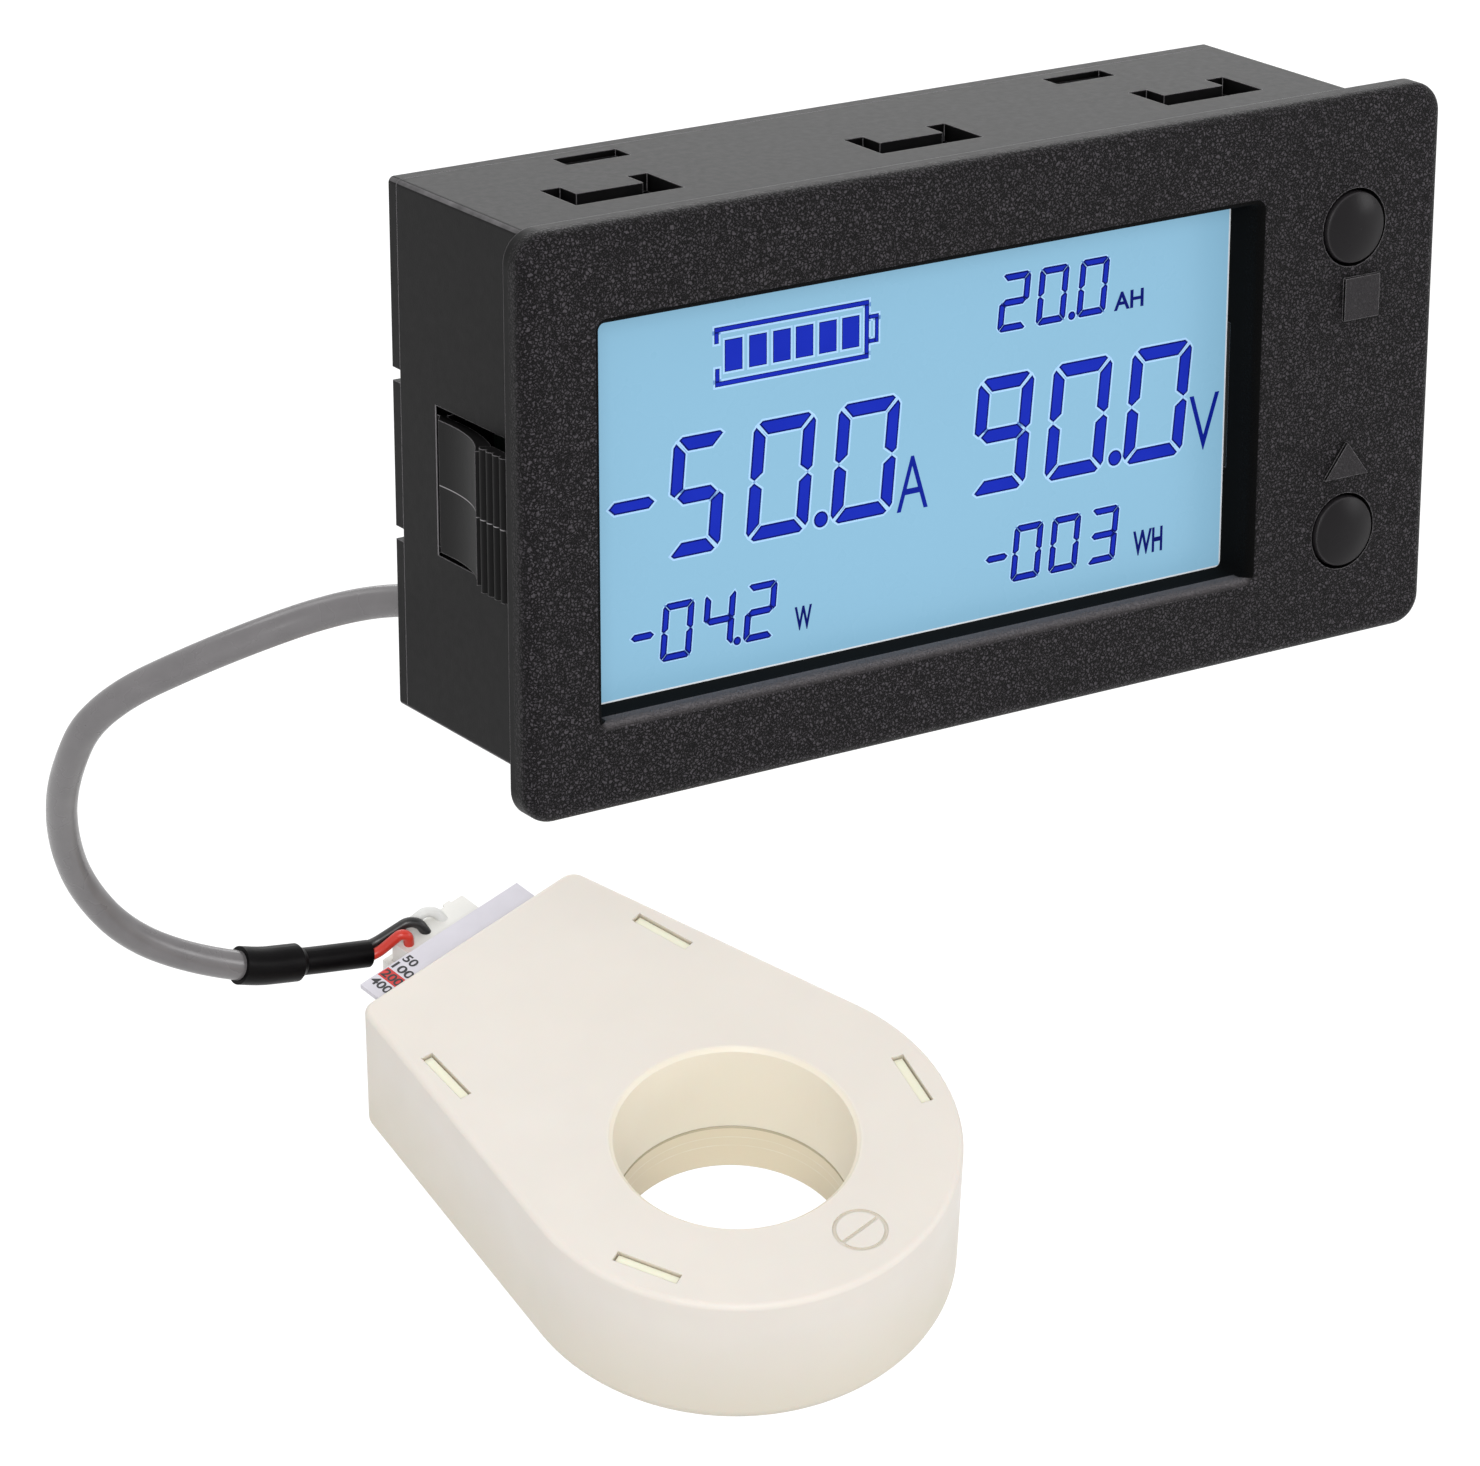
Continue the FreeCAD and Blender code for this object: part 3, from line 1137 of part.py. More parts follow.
def sensor_housing():
    body = new_body("sensor_housing")
    thick = size("sensor_thick")
    pad(body, sketch_on(body, "XY_Plane", teardrop(0)), "sensor_thick", back=True)
    rounded(body, "sensor_corner", lambda e: runs_along(e, "z") and e.CenterOfMass.y > size("sensor_bore"))
    rounded(body, "sensor_edge", lambda e: lies_at(e, Z=0))
    rounded(body, "sensor_foot", lambda e: lies_at(e, Z=-thick))
    pocket(body, sketch_on(body, "XY_Plane", teardrop(size("sensor_wall")), "-sensor_top"), "sensor_thick")
    bore = size("sensor_bore")
    pad(body, outline(body, "XY_Plane", [Round("0", "0", "tube_radius")]), "bore_joint", back=True)
    pocket(body, outline(body, "XY_Plane", [Round("0", "0", "sensor_bore")]), "sensor_thick + 1")
    rounded(body, "bore_rim", lambda e: lies_at(e, Z=0) and near(e.BoundBox.XLength, 2 * bore),
            kind="Chamfer")
    mirrored(body, pocket(body, sketch_on(body, "XY_Plane", right_hatches()), "sensor_top"))
    opening_low = "-sensor_top - rear_opening"
    window = rectangle("strip_x - strip_width / 2 - strip_play", opening_low, "strip_width + 2 * strip_play",
                       "rear_opening")
    opening(body, [window], "sensor_rear - 3 * sensor_wall", "4 * sensor_wall")
    polarity_mark(body)
    return body


def polarity_mark(body):
    """A shallow engraved ring with a bar, between the bore and the round end."""
    y = "-(sensor_bore + sensor_end) / 2"
    ring = [Round("0", y, "sign_radius"), Round("0", y, "sign_radius - sign_line")]
    pocket(body, outline(body, "XY_Plane", ring), "sign_deep")
    bar = centred("0", y, "2 * sign_radius - sign_line", "sign_line")
    pocket(body, outline(body, "XY_Plane", [bar]), "sign_deep")


def sensor_base():
    """Plate with the lower bore tube, the core's seat, four latch legs and two studs."""
    body = new_body("sensor_base")
    inset = size("sensor_wall") + size("seam_gap")
    pad(body, sketch_on(body, "XY_Plane", teardrop(inset), "-sensor_thick"), "sensor_top")
    pocket(body, outline(body, "XY_Plane", [Round("0", "0", "tube_radius")]), "sensor_thick + 1")
    low = -size("sensor_thick")
    floor = low + size("sensor_top")
    joint = -size("bore_joint")
    seat = size("core_low")
    bore = size("sensor_bore")
    tube_out = size("tube_radius")
    seat_in = tube_out + size("seat_play")
    seat_out = size("core_outer") - size("seat_step")
    bevel = size("bore_bevel")
    section = [(bore, low), (seat_out, low), (seat_out, seat), (seat_in, seat), (seat_in, floor),
               (tube_out, floor), (tube_out, joint), (bore + bevel, joint), (bore, joint - bevel)]
    turned(body, sketch_on(body, "XZ_Plane", polygon(section)))
    legs = sketch_on(body, "XY_Plane", right_hatches(size("seam_gap")), "-sensor_thick + sensor_top / 2")
    stud = Round("stud_x", "stud_y", "stud_radius")
    studs = outline(body, "XY_Plane", [stud], "-sensor_thick + sensor_top / 2")
    mirrored(body, pad(body, legs, "sensor_thick - sensor_top / 2 - hatch_sink"),
             pad(body, studs, "board_low + sensor_thick - sensor_top / 2"))
    return body


def sensor_inside():
    core = new_body("magnetic_core")
    ring = [Round("0", "0", "core_outer"), Round("0", "0", "tube_radius + core_play")]
    pad(core, outline(core, "XY_Plane", ring, "core_low"), "core_tall")
    gap = rectangle("-core_gap / 2", "1", "core_gap", "core_outer")
    pocket(core, outline(core, "XY_Plane", [gap]), "core_top + core_tall + 1")
    hall = new_body("hall_element")
    case = rectangle("hall_play - core_gap / 2", "hall_y", "core_gap - 2 * hall_play", "hall_deep")
    pad(hall, outline(hall, "XY_Plane", [case], "sensor_board_z"), "hall_tall")
    leg = rectangle("-hall_leg_pitch - hall_leg / 2", "hall_y + hall_deep - 0.1", "hall_leg", "hall_leg_long")
    legs = pad(hall, outline(hall, "XY_Plane", [leg], "sensor_board_z"), "hall_leg")
    in_a_row(hall, "X_Axis", "hall_leg_pitch", 3, legs)
    board = new_body("sensor_board")
    half = "sensor_board_wide / 2"
    shape = [("-" + half, "sensor_board_front"), (half, "sensor_board_front"),
             (half, "sensor_board_rear"), ("tongue_right", "sensor_board_rear"),
             ("tongue_right", "tongue_end"), ("tongue_left", "tongue_end"),
             ("tongue_left", "sensor_board_rear"), ("-" + half, "sensor_board_rear")]
    pad(board, outline(board, "XY_Plane", [shape], "board_low"), "sensor_board_thick")
    amplifier = new_body("amplifier_chip")
    package = centred("0", "amplifier_y", "amplifier_wide", "amplifier_deep")
    pad(amplifier, outline(amplifier, "XY_Plane", [package], "sensor_board_z"), "amplifier_tall")
    rounded(amplifier, "chip_bevel", lambda e: runs_along(e, "z"), kind="Chamfer")
    return [core, hall, board, amplifier, trimmers()]


def trimmers():
    """Two square trimmers with slotted wheels."""
    body = new_body("sensor_trimmers")
    top = "sensor_board_z + trimmer_tall"
    case = centred("trimmer_x", "trimmer_y", "trimmer_wide", "trimmer_deep")
    wheel = Round("trimmer_x", "trimmer_y", "wheel_radius")
    slot = centred("trimmer_x", "trimmer_y", "2 * wheel_radius + 0.2", "wheel_slot")
    features = [
        pad(body, outline(body, "XY_Plane", [case], "sensor_board_z"), "trimmer_tall"),
        pad(body, outline(body, "XY_Plane", [wheel], top), "wheel_tall"),
        pocket(body, outline(body, "XY_Plane", [slot], top + " + wheel_tall"), "wheel_tall / 2"),
    ]
    mirrored(body, *features)
    return body


# Connector behind the sensor: wafer on the board's tongue, plug, and the label strip above
def connector_parts():
    wafer = new_body("sensor_header")
    wall = "2 * wafer_wall"
    around = rectangle("plug_left - wafer_wall", "plug_front - wafer_wall", "plug_wide + " + wall,
                       "plug_deep + " + wall)
    socket = rectangle("plug_left - plug_play", "plug_front - plug_play", "plug_wide + 2 * plug_play",
                       "plug_deep + 2 * plug_play")
    pad(wafer, outline(wafer, "XY_Plane", [around], "sensor_board_z"), "wafer_tall")
    cavity = outline(wafer, "XY_Plane", [socket], "sensor_board_z + wafer_tall")
    pocket(wafer, cavity, "wafer_tall - wafer_floor")
    plug = new_body("plug_housing")
    case = rectangle("plug_left", "plug_front", "plug_wide", "plug_deep")
    pad(plug, outline(plug, "XY_Plane", [case], "plug_low"), "plug_top - plug_low")
    rounded(plug, "plug_corner", lambda e: runs_along(e, "z"))
    ribs = [rectangle("plug_left + (plug_wide - plug_rib) / 2 + %d * plug_rib_shift" % side,
                      "plug_front + plug_deep - 0.1", "plug_rib", "plug_rib_proud + 0.1") for side in BOTH]
    pad(plug, outline(plug, "XY_Plane", ribs, "plug_top"), "plug_rib_tall", back=True)
    strip = new_body("range_strip")
    label = rectangle("strip_x - strip_width / 2", "sensor_rear - strip_root", "strip_width",
                      "strip_proud + strip_root")
    pad(strip, outline(strip, "XY_Plane", [label], "-sensor_top"), "strip_thick", back=True)
    return [wafer, plug, strip]


# Wires in the sensor's own frame: the bend above the plug, and the end inside it
WIRE_BENDS = {
    "wire_red": ((-2.85, 40.75, -0.75), (-2.85, 40.5, -3.5)),
    "wire_black": ((-1.1, 41.6, -1.0), (-0.3, 40.3, -3.6)),
    "wire_white": ((1.2, 41.9, -1.4), (2.1, 40.4, -3.6)),
}
WIRE_TURNS = (-100, 20, 140)


def wires(sleeve, plug):
    """Three wires leave the thin sleeve side by side, rise and bend down into the plug."""
    pose = sensor_pose()
    end = V(*THIN_SLEEVE_ROUTE[-1])
    along = end - V(*THIN_SLEEVE_ROUTE[-2])
    along.normalize()
    across = V(0, 0, 1) - along * along.z
    across.normalize()
    aside = along.cross(across)
    made = []
    for degrees, (name, (bend, foot)) in zip(WIRE_TURNS, WIRE_BENDS.items()):
        turn = math.radians(degrees)
        offset = (across * math.cos(turn) - aside * math.sin(turn)) * (1.3 * size("wire_radius"))
        points = [end + offset - along * 2.5, end + offset + along * 0.3]
        points += [pose.multVec(V(*p)) for p in (bend, foot)]
        wire = tube(name, [tuple(p) for p in points], size("wire_radius"))
        wire.Shape = wire.Shape.cut([sleeve.Shape, plug.Shape])
        made.append(wire)
    return made


def sensor_parts():
    parts = [sensor_housing(), sensor_base()] + sensor_inside() + connector_parts()
    pose = sensor_pose()
    for part in parts:
        part.Placement = pose
    return parts


def all_parts():
    parts = [front_housing(), rear_cover()]
    parts += display_parts()
    parts += board_parts()
    parts += button("upper") + button("lower")
    parts += [clip("left"), clip("right")]
    parts += terminal_parts()
    parts += lead_parts()
    parts += sensor_parts()
    doc.recompute()
    named = {part.Label: part for part in parts}
    parts += wires(named["thin_sleeve"], named["plug_housing"])
    return parts


def check(parts):
    doc.recompute()
    for item in doc.Objects:
        if "Invalid" in item.State or "Error" in item.State:
            raise RuntimeError("%s (%s) failed: %s" % (item.Name, item.Label, item.State))
    for part in parts:
        if part.Shape.isNull() or not part.Shape.isValid():
            raise RuntimeError(part.Label + " has no valid shape")


def write(parts):
    os.makedirs("parts", exist_ok=True)
    for part in parts:
        part.Shape.exportStep("parts/%s.step" % part.Label)
    print(len(parts), "nodes written")


PARTS = all_parts()
check(PARTS)
write(PARTS)
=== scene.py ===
import json
import math
import bmesh
import bpy
from mathutils import Matrix, Vector

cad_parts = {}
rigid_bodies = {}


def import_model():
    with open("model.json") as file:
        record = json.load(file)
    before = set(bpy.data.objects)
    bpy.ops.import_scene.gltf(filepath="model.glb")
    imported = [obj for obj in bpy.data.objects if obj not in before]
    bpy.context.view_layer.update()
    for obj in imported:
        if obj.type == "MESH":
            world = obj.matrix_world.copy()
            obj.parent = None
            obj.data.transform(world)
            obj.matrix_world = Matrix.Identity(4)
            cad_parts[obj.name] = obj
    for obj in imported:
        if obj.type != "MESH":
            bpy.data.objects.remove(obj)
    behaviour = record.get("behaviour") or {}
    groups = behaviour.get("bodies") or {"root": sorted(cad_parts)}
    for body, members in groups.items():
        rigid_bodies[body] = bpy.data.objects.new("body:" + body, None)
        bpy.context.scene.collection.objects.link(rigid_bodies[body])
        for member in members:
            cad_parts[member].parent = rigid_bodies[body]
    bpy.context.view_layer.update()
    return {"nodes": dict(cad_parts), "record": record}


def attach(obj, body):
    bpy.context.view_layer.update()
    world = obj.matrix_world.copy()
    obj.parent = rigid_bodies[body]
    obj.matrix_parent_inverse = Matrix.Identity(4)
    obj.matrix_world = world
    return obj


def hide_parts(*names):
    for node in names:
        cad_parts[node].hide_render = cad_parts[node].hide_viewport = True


# Battery monitor: looks for the CAD's pieces, the lead, the display, the range strip, the studio
for item in list(bpy.data.objects):
    bpy.data.objects.remove(item)

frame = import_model()
nodes = frame["nodes"]
METER = "meter_and_sensor"
scene = bpy.context.scene

# Lengths are in metres, apart from outlines and the lead's route, which are in millimetres
MM = 0.001


# Camera, fitted to the photograph
camera_data = bpy.data.cameras.new("camera")
camera_data.sensor_fit = "HORIZONTAL"
camera_data.sensor_width = 36.0
camera_data.lens = 135.28
camera = bpy.data.objects.new("camera", camera_data)
camera.location = (-0.25388, -0.34689, 0.13361)
camera.rotation_euler = (math.radians(69.654), 0, math.radians(-33.582))
scene.collection.objects.link(camera)
scene.camera = camera


def turn(degrees, axis):
    return Matrix.Rotation(math.radians(degrees), 4, axis)


# Sensor's own frame: its bore runs along Z, its top face is at zero, its plug end is at +Y
SENSOR = Matrix.Translation(Vector((-1.8, 33.6, -74.3)) * MM) @ (
    turn(13.4, "Z") @ turn(16.0, "X") @ turn(-15.0, "Y"))


# Materials
def shaded(colour, factor):
    return tuple(channel * factor for channel in colour)


class Finish:
    """A procedural material: a shader, and surface detail in the object's own metres."""

    def __init__(self, name, colour, roughness, specular=0.5, metallic=0.0):
        self.material = bpy.data.materials.new(name)
        self.material.use_nodes = True
        self.tree = self.material.node_tree
        self.shader = self.tree.nodes["Principled BSDF"]
        self.shader.inputs["Base Color"].default_value = (*colour, 1)
        self.shader.inputs["Roughness"].default_value = roughness
        self.shader.inputs["Specular IOR Level"].default_value = specular
        self.shader.inputs["Metallic"].default_value = metallic
        self.place = self.node("ShaderNodeTexCoord").outputs["Object"]
        self.colour = colour
        self.normal = None

    def node(self, kind, **values):
        node = self.tree.nodes.new(kind)
        for key, value in values.items():
            setattr(node, key, value)
        return node

    def link(self, start, end):
        self.tree.links.new(start, end)

    def feed(self, socket, value):
        """Links a socket where the value is another node's output, else sets it."""
        if isinstance(value, bpy.types.NodeSocket):
            self.link(value, socket)
        else:
            socket.default_value = value

    def maths(self, operation, *values):
        node = self.node("ShaderNodeMath", operation=operation)
        for socket, value in zip(node.inputs, values):
            self.feed(socket, value)
        return node.outputs["Value"]

    def vectors(self, operation, *values, result="Vector"):
        node = self.node("ShaderNodeVectorMath", operation=operation)
        for socket, value in zip(node.inputs, values):
            self.feed(socket, value)
        return node.outputs[result]

    def parts(self, source):
        """The X, Y and Z of a vector."""
        node = self.node("ShaderNodeSeparateXYZ")
        self.link(source, node.inputs["Vector"])
        return [node.outputs[axis] for axis in "XYZ"]

    def remap(self, source, low, high, start=0.3, end=0.7):
        """From low to high while the source goes from start to end."""
        node = self.node("ShaderNodeMapRange")
        node.inputs["From Min"].default_value = start
        node.inputs["From Max"].default_value = end
        node.inputs["To Min"].default_value = low
        node.inputs["To Max"].default_value = high
        self.link(source, node.inputs["Value"])
        return node.outputs["Result"]

    def blend(self, first, second, factor):
        """From the first value to the second by a factor from 0 to 1."""
        node = self.node("ShaderNodeMix")
        self.feed(node.inputs["A"], first)
        self.feed(node.inputs["B"], second)
        self.link(factor, node.inputs["Factor"])
        return node.outputs["Result"]

    # Masks: one where they hold, else zero
    def times(self, *factors):
        total = factors[0]
        for factor in factors[1:]:
            total = self.maths("MULTIPLY", total, factor)
        return total

    def within(self, source, low, high):
        return self.maths("COMPARE", source, (low + high) / 2, (high - low) / 2)

    def outside(self, source, limit):
        return self.maths("GREATER_THAN", self.maths("ABSOLUTE", source), limit)

    # Places
    def height(self, matrix):
        """Height over the face that the matrix gives."""
        up = matrix.col[2].to_3d()
        along = self.vectors("DOT_PRODUCT", self.place, up, result="Value")
        return self.maths("SUBTRACT", along, up.dot(matrix.translation))

    def from_axis(self, matrix):
        """Distance from the axis that the matrix gives."""
        arm = self.vectors("SUBTRACT", self.place, matrix.translation)
        across = self.vectors("CROSS_PRODUCT", arm, matrix.col[2].to_3d())
        return self.vectors("LENGTH", across, result="Value")

    # Colour
    def tint(self, other, factor):
        """Mixes towards a second colour by a factor from 0 to 1."""
        mix = self.node("ShaderNodeMix", data_type="RGBA")
        socket = self.shader.inputs["Base Color"]
        if socket.is_linked:
            self.link(socket.links[0].from_socket, mix.inputs["A"])
        else:
            mix.inputs["A"].default_value = (*self.colour, 1)
        mix.inputs["B"].default_value = (*other, 1)
        self.link(factor, mix.inputs["Factor"])
        self.link(mix.outputs["Result"], socket)

    def mottle(self, other, scale, detail=3.0, stretch=None):
        """Soft patches of a second colour."""
        self.tint(other, self.remap(self.noise(scale, detail, stretch), 0, 1))

    def glow(self, colour, strength):
        self.shader.inputs["Emission Color"].default_value = (*colour, 1)
        self.shader.inputs["Emission Strength"].default_value = strength

    # Surface
    def noise(self, scale, detail=3.0, stretch=None):
        noise = self.node("ShaderNodeTexNoise")
        noise.inputs["Scale"].default_value = scale
        noise.inputs["Detail"].default_value = detail
        source = self.place
        if stretch:
            mapping = self.node("ShaderNodeMapping")
            mapping.inputs["Scale"].default_value = stretch
            self.link(source, mapping.inputs["Vector"])
            source = mapping.outputs["Vector"]
        self.link(source, noise.inputs["Vector"])
        return noise.outputs["Fac"]

    def rough(self, low, high, scale, stretch=None):
        """Roughness that wanders between two values."""
        wander = self.remap(self.noise(scale, stretch=stretch), low, high)
        self.link(wander, self.shader.inputs["Roughness"])

    def bump(self, height, distance, strength=1.0):
        node = self.node("ShaderNodeBump")
        node.inputs["Distance"].default_value = distance
        node.inputs["Strength"].default_value = strength
        self.link(height, node.inputs["Height"])
        if self.normal:
            self.link(self.normal, node.inputs["Normal"])
        self.normal = node.outputs["Normal"]
        self.link(self.normal, self.shader.inputs["Normal"])

    def grain(self, scale, distance, strength=1.0):
        self.bump(self.noise(scale, detail=2.0), distance, strength)

    def round_edges(self, radius):
        """Rounds the shading of sharp edges, and keeps how near an edge is."""
        bevel = self.node("ShaderNodeBevel")
        bevel.inputs["Radius"].default_value = radius
        self.normal = bevel.outputs["Normal"]
        self.facing = self.node("ShaderNodeNewGeometry").outputs["Normal"]
        likeness = self.vectors("DOT_PRODUCT", self.normal, self.facing, result="Value")
        self.edge = self.remap(likeness, 1, 0, start=0.86, end=0.985)

    def wear_and_highlight(self, colour):
        """A paler line along sharp edges, after round_edges: rubbing and a painted highlight."""
        self.tint(colour, self.edge)

    def painted_crease_shade(self, colour, distance):
        """Painted shade: another colour at the foot of walls and at the bottom of grooves, where
        ambient occlusion finds them.
        """
        shade = self.node("ShaderNodeAmbientOcclusion", samples=8)
        shade.inputs["Distance"].default_value = distance
        self.tint(colour, self.remap(shade.outputs["AO"], 1, 0, start=0.55, end=0.95))


# Places on the meter that its black plastic tells apart, as (low, high) where they are ranges
GRAIN_FADE = (-0.0026, -0.0006)
MARK_TOPS = (-0.00299, -0.00294)
MARK_SIDES = (-0.00292, -0.00272)
WINDOW_X = (-0.03805, 0.02595)
WINDOW_Z = (-0.0164, 0.0160)
WINDOW_WALLS = (-0.0018, 0.0014)
LIP = 0.00075
LIP_DEPTH = (-0.00266, -0.0018)
SILL_DEPTH = (-0.0028, -0.0012)
BEHIND_SEAT = (0.0001, 0.0003)
BOX_SIDE, BOX_TOP = 0.04064, 0.02189
CLIP_SIDE = 0.0411
CLIP_LINE = (-0.00114, -0.00106)


def leather(finish):
    """Height of a leather-like grain: small cells with uneven creases between them."""
    waver = finish.node("ShaderNodeTexNoise")
    waver.inputs["Scale"].default_value = 2600
    finish.link(finish.place, waver.inputs["Vector"])
    shift = finish.node("ShaderNodeVectorMath", operation="SCALE")
    shift.inputs["Scale"].default_value = 0.0007
    finish.link(waver.outputs["Color"], shift.inputs["Vector"])
    creases = finish.node("ShaderNodeTexVoronoi", feature="DISTANCE_TO_EDGE")
    creases.inputs["Scale"].default_value = 3100
    wavering = finish.vectors("ADD", finish.place, shift.outputs["Vector"])
    finish.link(wavering, creases.inputs["Vector"])
    return finish.remap(creases.outputs["Distance"], 0.0, 1.0, start=0.06, end=0.28)


def black_case():
    """Moulded black plastic: grained on the frame's face, smooth on its marks and on the box."""
    finish = Finish("black_case", (0.0022, 0.0020, 0.0023), 0.46, specular=0.105)
    finish.round_edges(0.00012)
    x, y, z = finish.parts(finish.place)
    hills = leather(finish)
    grain = finish.times(hills, finish.remap(y, 1.0, 0.0, *GRAIN_FADE))
    finish.bump(grain, distance=0.00013)
    finish.grain(5200, distance=0.000014, strength=0.5)
    finish.mottle((0.0036, 0.0033, 0.0036), scale=900)
    # Painted shade and highlight in the grain: darker creases and paler hills
    finish.tint((0.060, 0.055, 0.061), grain)

    # Raised marks: a painted highlight makes their tops paler and painted shade makes their sides
    # black
    mark_tops = finish.times(finish.remap(y, 1.0, 0.0, *MARK_TOPS),
                             finish.remap(hills, 0.7, 1.0, start=0.0, end=1.0))
    finish.tint((0.044, 0.041, 0.044), mark_tops)
    finish.tint((0.0005, 0.0005, 0.0005), finish.within(y, *MARK_SIDES))

    # Window: painted shade makes its walls and lip black, and a painted highlight lies on the
    # lower sill where it faces up
    recess = finish.times(finish.within(x, *WINDOW_X), finish.within(z, *WINDOW_Z),
                          finish.within(y, *WINDOW_WALLS))
    finish.tint((0.0006, 0.0006, 0.0006), recess)
    over_lip = finish.within(x, WINDOW_X[0] - LIP, WINDOW_X[1] + LIP)
    lip = finish.times(over_lip, finish.within(z, WINDOW_Z[0] - LIP, WINDOW_Z[1] + LIP),
                       finish.within(y, *LIP_DEPTH))
    finish.tint((0.0008, 0.0008, 0.0008), lip)
    # Painted highlight on the upward-facing part of the lower sill
    upward = finish.remap(finish.parts(finish.facing)[2], 0.0, 0.9, start=0.1, end=0.75)
    sill = finish.times(over_lip, finish.within(z, WINDOW_Z[0] - LIP, WINDOW_Z[0] + 0.0001),
                        finish.within(y, *SILL_DEPTH), upward)
    finish.tint((0.135, 0.125, 0.13), sill)

    # Clips: plain black, with a pale line across them at mid-height
    behind_seat = finish.remap(y, 0.0, 1.0, *BEHIND_SEAT)
    on_clip = finish.times(finish.outside(x, CLIP_SIDE), behind_seat)
    finish.tint((0.003, 0.0028, 0.003), on_clip)
    finish.tint((0.30, 0.29, 0.30), finish.times(on_clip, finish.within(z, *CLIP_LINE)))

    # Painted shade makes the creases black, edges are paler from rubbing and a painted highlight,
    # and a painted highlight lies along the box's long corners
    finish.painted_crease_shade((0.0004, 0.0004, 0.0004), distance=0.0011)
    finish.wear_and_highlight((0.24, 0.23, 0.24))
    # Painted highlight, broken by noise, along the box's long upper corners
    box_edge = finish.times(finish.outside(x, BOX_SIDE), finish.outside(z, BOX_TOP), behind_seat,
                            finish.remap(finish.noise(500), 0.45, 1.0))
    finish.tint((0.15, 0.145, 0.15), box_edge)

    # The clips are a little duller than the case, and the window's walls are matt
    roughness = finish.blend(finish.remap(finish.noise(1400), 0.44, 0.48), 0.5, on_clip)
    roughness = finish.blend(roughness, 0.95, finish.maths("MAXIMUM", recess, lip))
    finish.link(roughness, finish.shader.inputs["Roughness"])
    return finish


def plastic(name, colour, roughness, specular=0.5, vary=0.94, grain=0.000006, edge_wear_and_highlight=None):
    """Plain moulded plastic, paler along its edges, from rubbing and a painted highlight, where an
    edge colour is given.
    """
    finish = Finish(name, colour, roughness, specular)
    if edge_wear_and_highlight:
        finish.round_edges(0.0003)
    finish.mottle(shaded(colour, vary), scale=420)
    finish.rough(roughness - 0.05, roughness + 0.06, scale=300)
    finish.grain(3800, distance=grain, strength=0.5)
    if edge_wear_and_highlight:
        finish.wear_and_highlight(edge_wear_and_highlight)
    return finish


def metal(name, colour, roughness, stretch=(1, 1, 12)):
    """Drawn or plated metal, with streaks along one axis."""
    finish = Finish(name, colour, roughness, metallic=1.0)
    finish.mottle(shaded(colour, 0.82), scale=700, stretch=stretch)
    finish.rough(roughness - 0.08, roughness + 0.12, scale=900, stretch=stretch)
    finish.grain(2600, distance=0.000008, strength=0.4)
    return finish


# Places on the sensor: distances from the bore's axis, and heights over the top face
BORE = 0.011
BORE_FADE = (BORE + 0.0002, BORE + 0.0006)
DEPTH_FADE = (-0.0155, -0.0035)
LEG_TOPS = (-0.003, -0.002)
JOINT = (-0.01045, -0.01005)
RINGS = (-0.0116, -0.0127)
RING_HALF = 0.00006


def ivory(name, colour, warm, low, bore):
    """Moulded ivory plastic: painted shade makes it darker and warmer with depth, painted light
    makes it lighter in the bore, painted shade darkens its creases, and it is paler along its
    edges from rubbing and a painted highlight.
    """
    finish = Finish(name, colour, 0.42, specular=0.4)
    finish.round_edges(0.00012)
    finish.mottle(shaded(colour, 0.965), scale=130, detail=4)
    finish.tint(warm, finish.remap(finish.noise(38), 0, 0.5))
    # Painted shade: darker and warmer deeper below the top face
    finish.tint(low, finish.remap(finish.height(SENSOR), 0.75, 0.0, *DEPTH_FADE))
    # Painted light: lighter on the bore's wall
    finish.tint(bore, finish.remap(finish.from_axis(SENSOR), 1.0, 0.0, *BORE_FADE))
    # Painted shade in the creases
    finish.painted_crease_shade(shaded(low, 0.93), distance=0.0005)
    finish.wear_and_highlight(tuple(min(0.9, channel) for channel in shaded(colour, 1.08)))
    finish.rough(0.36, 0.5, scale=240)
    finish.grain(1500, distance=0.000012, strength=0.5)
    finish.grain(6000, distance=0.000004, strength=0.5)
    finish.shader.inputs["Subsurface Weight"].default_value = 0.08
    finish.shader.inputs["Subsurface Scale"].default_value = 0.002
    return finish


def ivory_base():
    """The sensor's lower moulding: leg tops made pale by painted light, a shadow at its joint, and
    rings in the bore.
    """
    finish = ivory("sensor_base_ivory", (0.71, 0.64, 0.50), warm=(0.70, 0.62, 0.45),
                   low=(0.66, 0.58, 0.42), bore=(0.77, 0.69, 0.53))
    height = finish.height(SENSOR)
    # Painted light on the leg tops that sit down in the slots
    finish.tint((0.90, 0.87, 0.70), finish.remap(height, 0.0, 1.0, *LEG_TOPS))
    finish.tint((0.48, 0.43, 0.31), finish.within(height, *JOINT))
    for ring in RINGS:
        finish.tint((0.86, 0.82, 0.70), finish.times(
            finish.within(height, ring - RING_HALF, ring + RING_HALF),
            finish.remap(finish.noise(700), 0.2, 0.8)))
    return finish


BOARD_MARGIN = 0.0365


